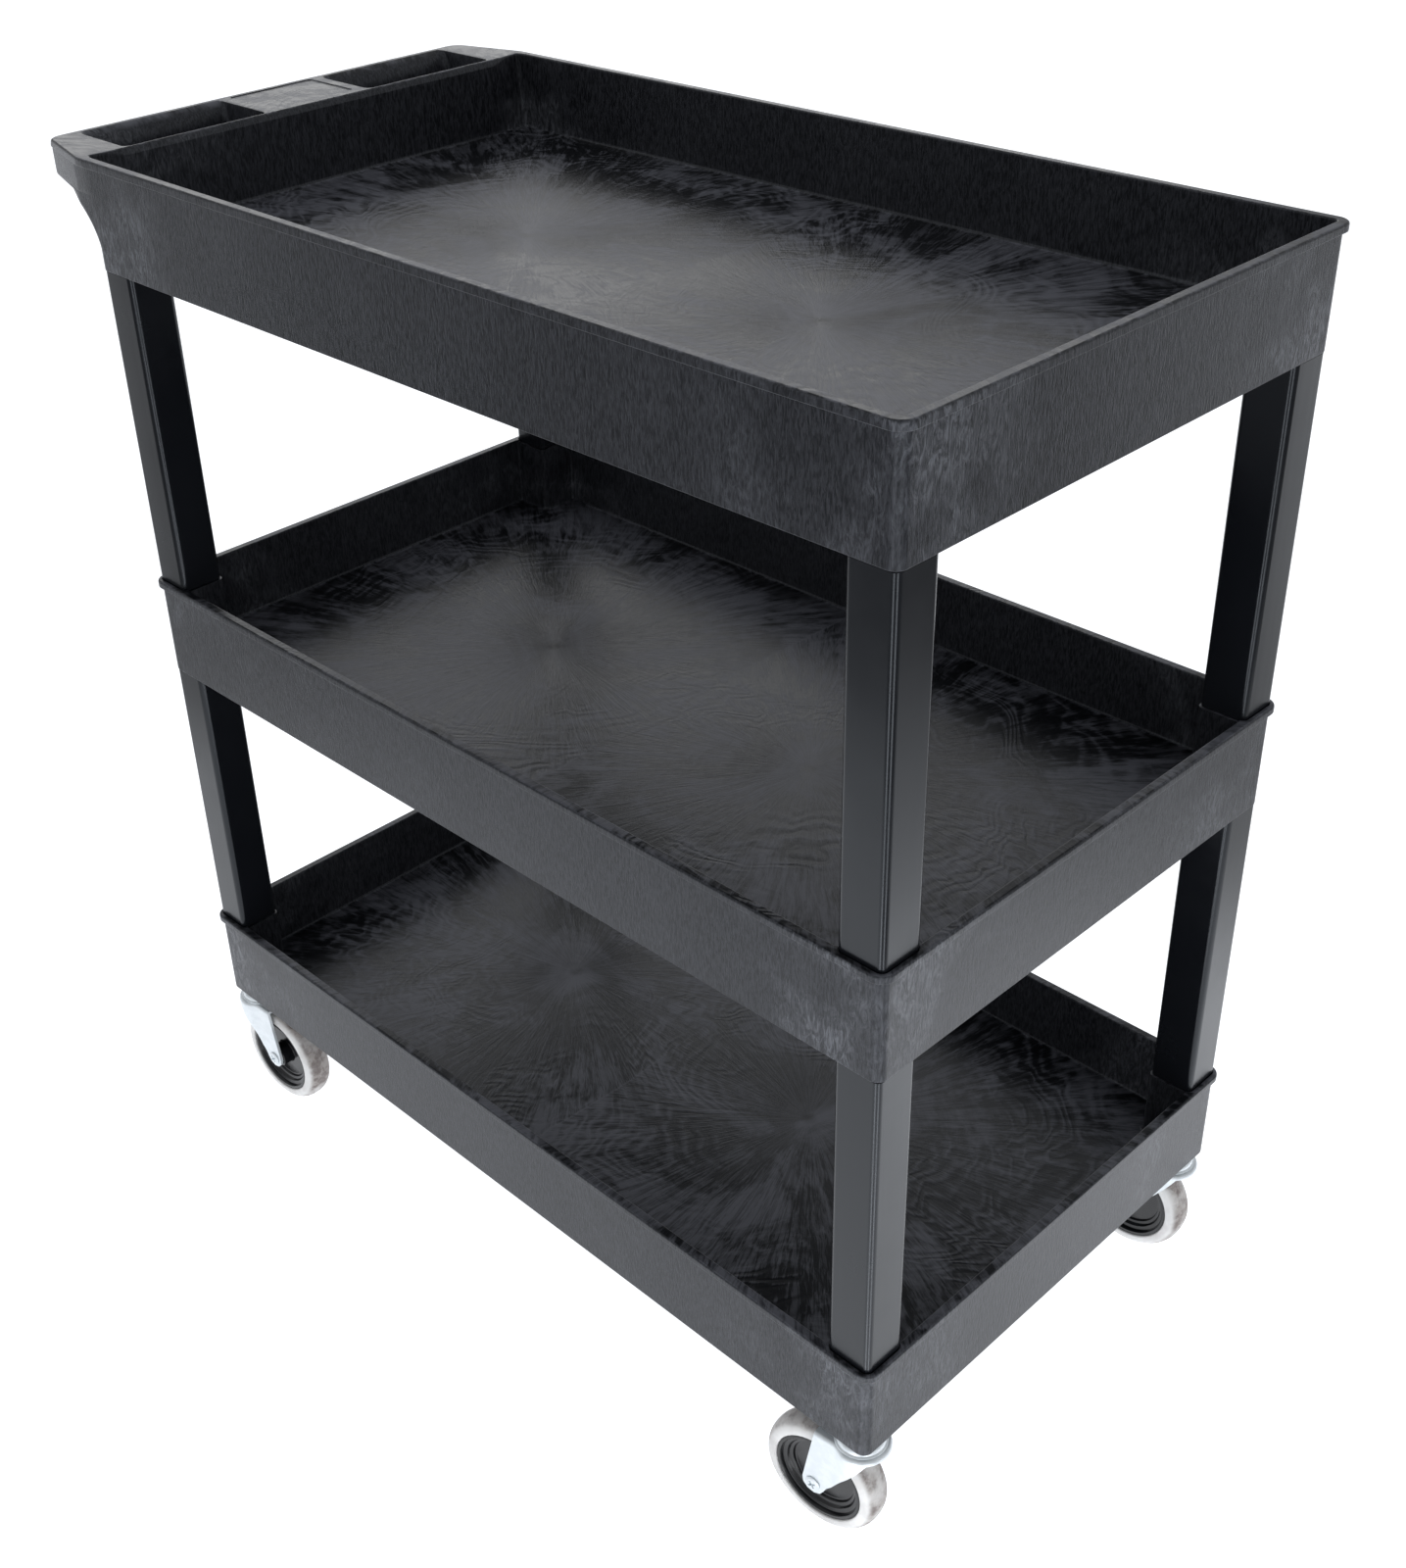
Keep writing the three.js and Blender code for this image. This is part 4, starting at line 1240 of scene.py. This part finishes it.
@once
def zinc_plate(nodes):
    """Bright zinc plate: a bluish white metal with faint spangle."""
    nodes.set(Metallic=0.4, Specular_IOR_Level=0.5)
    spangle = nodes.noise(90.0, 4.0, 0.6)
    nodes.to("Base Color", nodes.mix(nodes.fit(spangle, 0.35, 0.65), (0.72, 0.77, 0.80), (0.80, 0.85, 0.88)))
    nodes.to("Roughness", nodes.fit(nodes.noise(40.0, 5.0), 0.3, 0.7, 0.30, 0.42))
    nodes.to("Normal", nodes.bump(nodes.noise(600.0, 2.0), 0.00004, 0.4))


@once
def plain_steel(nodes):
    """Bare steel, for the parts hidden inside a caster."""
    nodes.set(Base_Color=(0.55, 0.56, 0.58, 1.0), Metallic=1.0)
    nodes.to("Roughness", nodes.fit(nodes.noise(120.0), 0.3, 0.7, 0.2, 0.4))


@once
def hub_plastic(nodes):
    """Glossy black plastic."""
    nodes.set(Base_Color=(0.006, 0.0065, 0.008, 1.0), Specular_IOR_Level=0.5)
    nodes.to("Roughness", nodes.fit(nodes.noise(90.0), 0.3, 0.7, 0.14, 0.26))


@once
def tread_rubber(nodes):
    """Pale grey tread, with brown and black scuffs round its crown."""
    nodes.set(Specular_IOR_Level=0.4)
    crown = nodes.add("ShaderNodeAttribute", attribute_name=CROWN_ATTRIBUTE).outputs["Fac"]
    smudge = nodes.noise(38.0, 4.0, 0.6)
    scuff = nodes.noise(110.0, 4.0, 0.7)
    dirt = nodes.times(nodes.fit(crown, 0.20, 0.75), nodes.fit(smudge, 0.34, 0.58, 0.45, 1.0))
    pale = nodes.mix(nodes.fit(smudge, 0.4, 0.7), (0.80, 0.80, 0.79), (0.66, 0.65, 0.64))
    brown = nodes.mix(nodes.fit(scuff, 0.42, 0.60), (0.36, 0.33, 0.31), (0.20, 0.17, 0.16))
    nodes.to("Base Color", nodes.mix(dirt, pale, brown))
    nodes.to("Roughness", nodes.fit(scuff, 0.3, 0.7, 0.42, 0.66))
    nodes.to("Normal", nodes.bump(nodes.times(scuff, dirt), 0.0003, 0.5))


# ---------------------------------------------------------------- studio and camera


def heading_vector(degrees):
    """The level direction at this angle from +X."""
    return (math.cos(math.radians(degrees)), math.sin(math.radians(degrees)), 0.0)


FLOOR_HALF = 20000.0
FLOOR_NEAR = 1.20
FLOOR_BACK = 1.10
FLOOR_FAR_SIDE = 0.05
NEAR_CENTRE = (0.0, -0.15, 0.0)
NEAR_RADIUS = (0.92, 1.25)
BACK_DIRECTION = heading_vector(130.0)
# Soft glows on the floor: centre, inner and outer radius, strength.
GLOWS = (((1.0, 0.42, 0.0), 0.1, 0.8, 0.95), ((-0.6, -1.9, 0.0), 0.3, 1.2, 0.05))
# Narrow bright rays on the floor from below the front right leg, which light its rounded edge.
NEAR_CORNER = (0.45, -0.23, 0.0)
EDGE_RAYS = (-27.0, -76.0)
RAY_GLOW = 4.0

SKY_COLOUR = (0.97, 0.98, 1.0, 1.0)
SKY_BACK = 0.6
SKY_SIDE = 0.75
SKY_HIGH = 0.5

CAMERA_PLACE = (1.03656, -0.96893, 1.30801)
CAMERA_AZIMUTH = math.radians(46.923)
CAMERA_ELEVATION = math.radians(31.820)
CAMERA_ROLL = math.radians(-2.304)
CAMERA_LENS = 45.02
CAMERA_SHIFT = (0.0366, -0.0150)


def make_floor():
    """A pale seamless floor: bright round the cart and behind it, and dim towards the camera."""
    corners = [(sx * FLOOR_HALF, sy * FLOOR_HALF, 0.0) for sx, sy in ((-1, -1), (1, -1), (1, 1), (-1, 1))]
    floor = make_object("studio_floor", corners, [(0, 1, 2, 3)])
    nodes = Nodes(bpy.data.materials.new("studio_floor"))
    nodes.set(Base_Color=(0.25, 0.25, 0.25, 1.0), Roughness=0.9, Specular_IOR_Level=0.1)
    nodes.set(Emission_Color=(0.94, 0.96, 1.0, 1.0))

    outward = nodes.vector("NORMALIZE", nodes.coords)[0]
    backward = nodes.vector("DOT_PRODUCT", outward, BACK_DIRECTION)["Value"]
    far = nodes.fit(backward, 0.07, 0.37, FLOOR_FAR_SIDE, FLOOR_BACK)
    radius = nodes.vector("DISTANCE", nodes.coords, NEAR_CENTRE)["Value"]
    lit = nodes.blend(nodes.fit(radius, *NEAR_RADIUS), FLOOR_NEAR, far)
    for place, inner, outer, strength in GLOWS:
        distance = nodes.vector("DISTANCE", nodes.coords, place)["Value"]
        lit = nodes.plus(lit, nodes.fit(distance, inner, outer, strength, 0.0))
    from_corner = nodes.vector("SUBTRACT", nodes.coords, NEAR_CORNER)[0]
    from_corner = nodes.vector("NORMALIZE", from_corner)[0]
    for degrees in EDGE_RAYS:
        along_ray = nodes.vector("DOT_PRODUCT", from_corner, heading_vector(degrees))["Value"]
        lit = nodes.plus(lit, nodes.fit(along_ray, 0.985, 0.997, 0.0, RAY_GLOW))
    nodes.to("Emission Strength", lit)
    floor.data.materials.append(nodes.owner)


def make_world():
    """A plain sky, a little stronger to the sides than behind, and even overhead."""
    nodes = Nodes(bpy.data.worlds.new("studio"), "Background", "Generated")
    nodes.set(Color=SKY_COLOUR)
    backward = nodes.vector("DOT_PRODUCT", nodes.coords, BACK_DIRECTION)["Value"]
    low = nodes.fit(backward, -0.1, 0.7, SKY_SIDE, SKY_BACK)
    rise = nodes.fit(nodes.split(nodes.coords)["Z"], 0.15, 0.7, kind="LINEAR")
    nodes.to("Strength", nodes.blend(rise, low, SKY_HIGH))
    bpy.context.scene.world = nodes.owner


def make_softbox():
    """One soft rectangular light behind the cart, over its rear left corner."""
    light = bpy.data.lights.new("back_softbox", "AREA")
    light.shape = "RECTANGLE"
    light.size = 3.2
    light.size_y = 1.5
    light.energy = 20.0
    lamp = bpy.data.objects.new("back_softbox", light)
    bpy.context.scene.collection.objects.link(lamp)
    lamp.location = (-2.5, 2.0, 1.95)
    aim = Vector((0.0, 0.0, 0.8)) - lamp.location
    lamp.rotation_euler = aim.to_track_quat("-Z", "Y").to_euler()


def make_camera():
    """The camera at the photograph's viewing angle."""
    forward = Vector((
        -math.sin(CAMERA_AZIMUTH) * math.cos(CAMERA_ELEVATION),
        math.cos(CAMERA_AZIMUTH) * math.cos(CAMERA_ELEVATION),
        -math.sin(CAMERA_ELEVATION),
    ))
    level = Vector((math.cos(CAMERA_AZIMUTH), math.sin(CAMERA_AZIMUTH), 0.0))
    upright = level.cross(forward)
    right = level * math.cos(CAMERA_ROLL) + upright * math.sin(CAMERA_ROLL)
    up = upright * math.cos(CAMERA_ROLL) - level * math.sin(CAMERA_ROLL)
    data = bpy.data.cameras.new("camera")
    data.lens = CAMERA_LENS
    data.sensor_width = 36.0
    data.shift_x, data.shift_y = CAMERA_SHIFT
    data.clip_start = 0.01
    camera = bpy.data.objects.new("camera", data)
    bpy.context.scene.collection.objects.link(camera)
    turn = Matrix((right, up, -forward)).transposed()
    camera.matrix_world = Matrix.Translation(CAMERA_PLACE) @ turn.to_4x4()
    bpy.context.scene.camera = camera


# ---------------------------------------------------------------- the scene

make_camera()
make_floor()
make_world()
make_softbox()
make_top_tray()
make_lower_tray("middle", False)
make_lower_tray("bottom", True)
for leg_level in ("upper", "lower"):
    for leg_corner in CORNERS:
        make_leg(leg_level, leg_corner)
make_casters()

bpy.context.scene.view_settings.view_transform = "Standard"
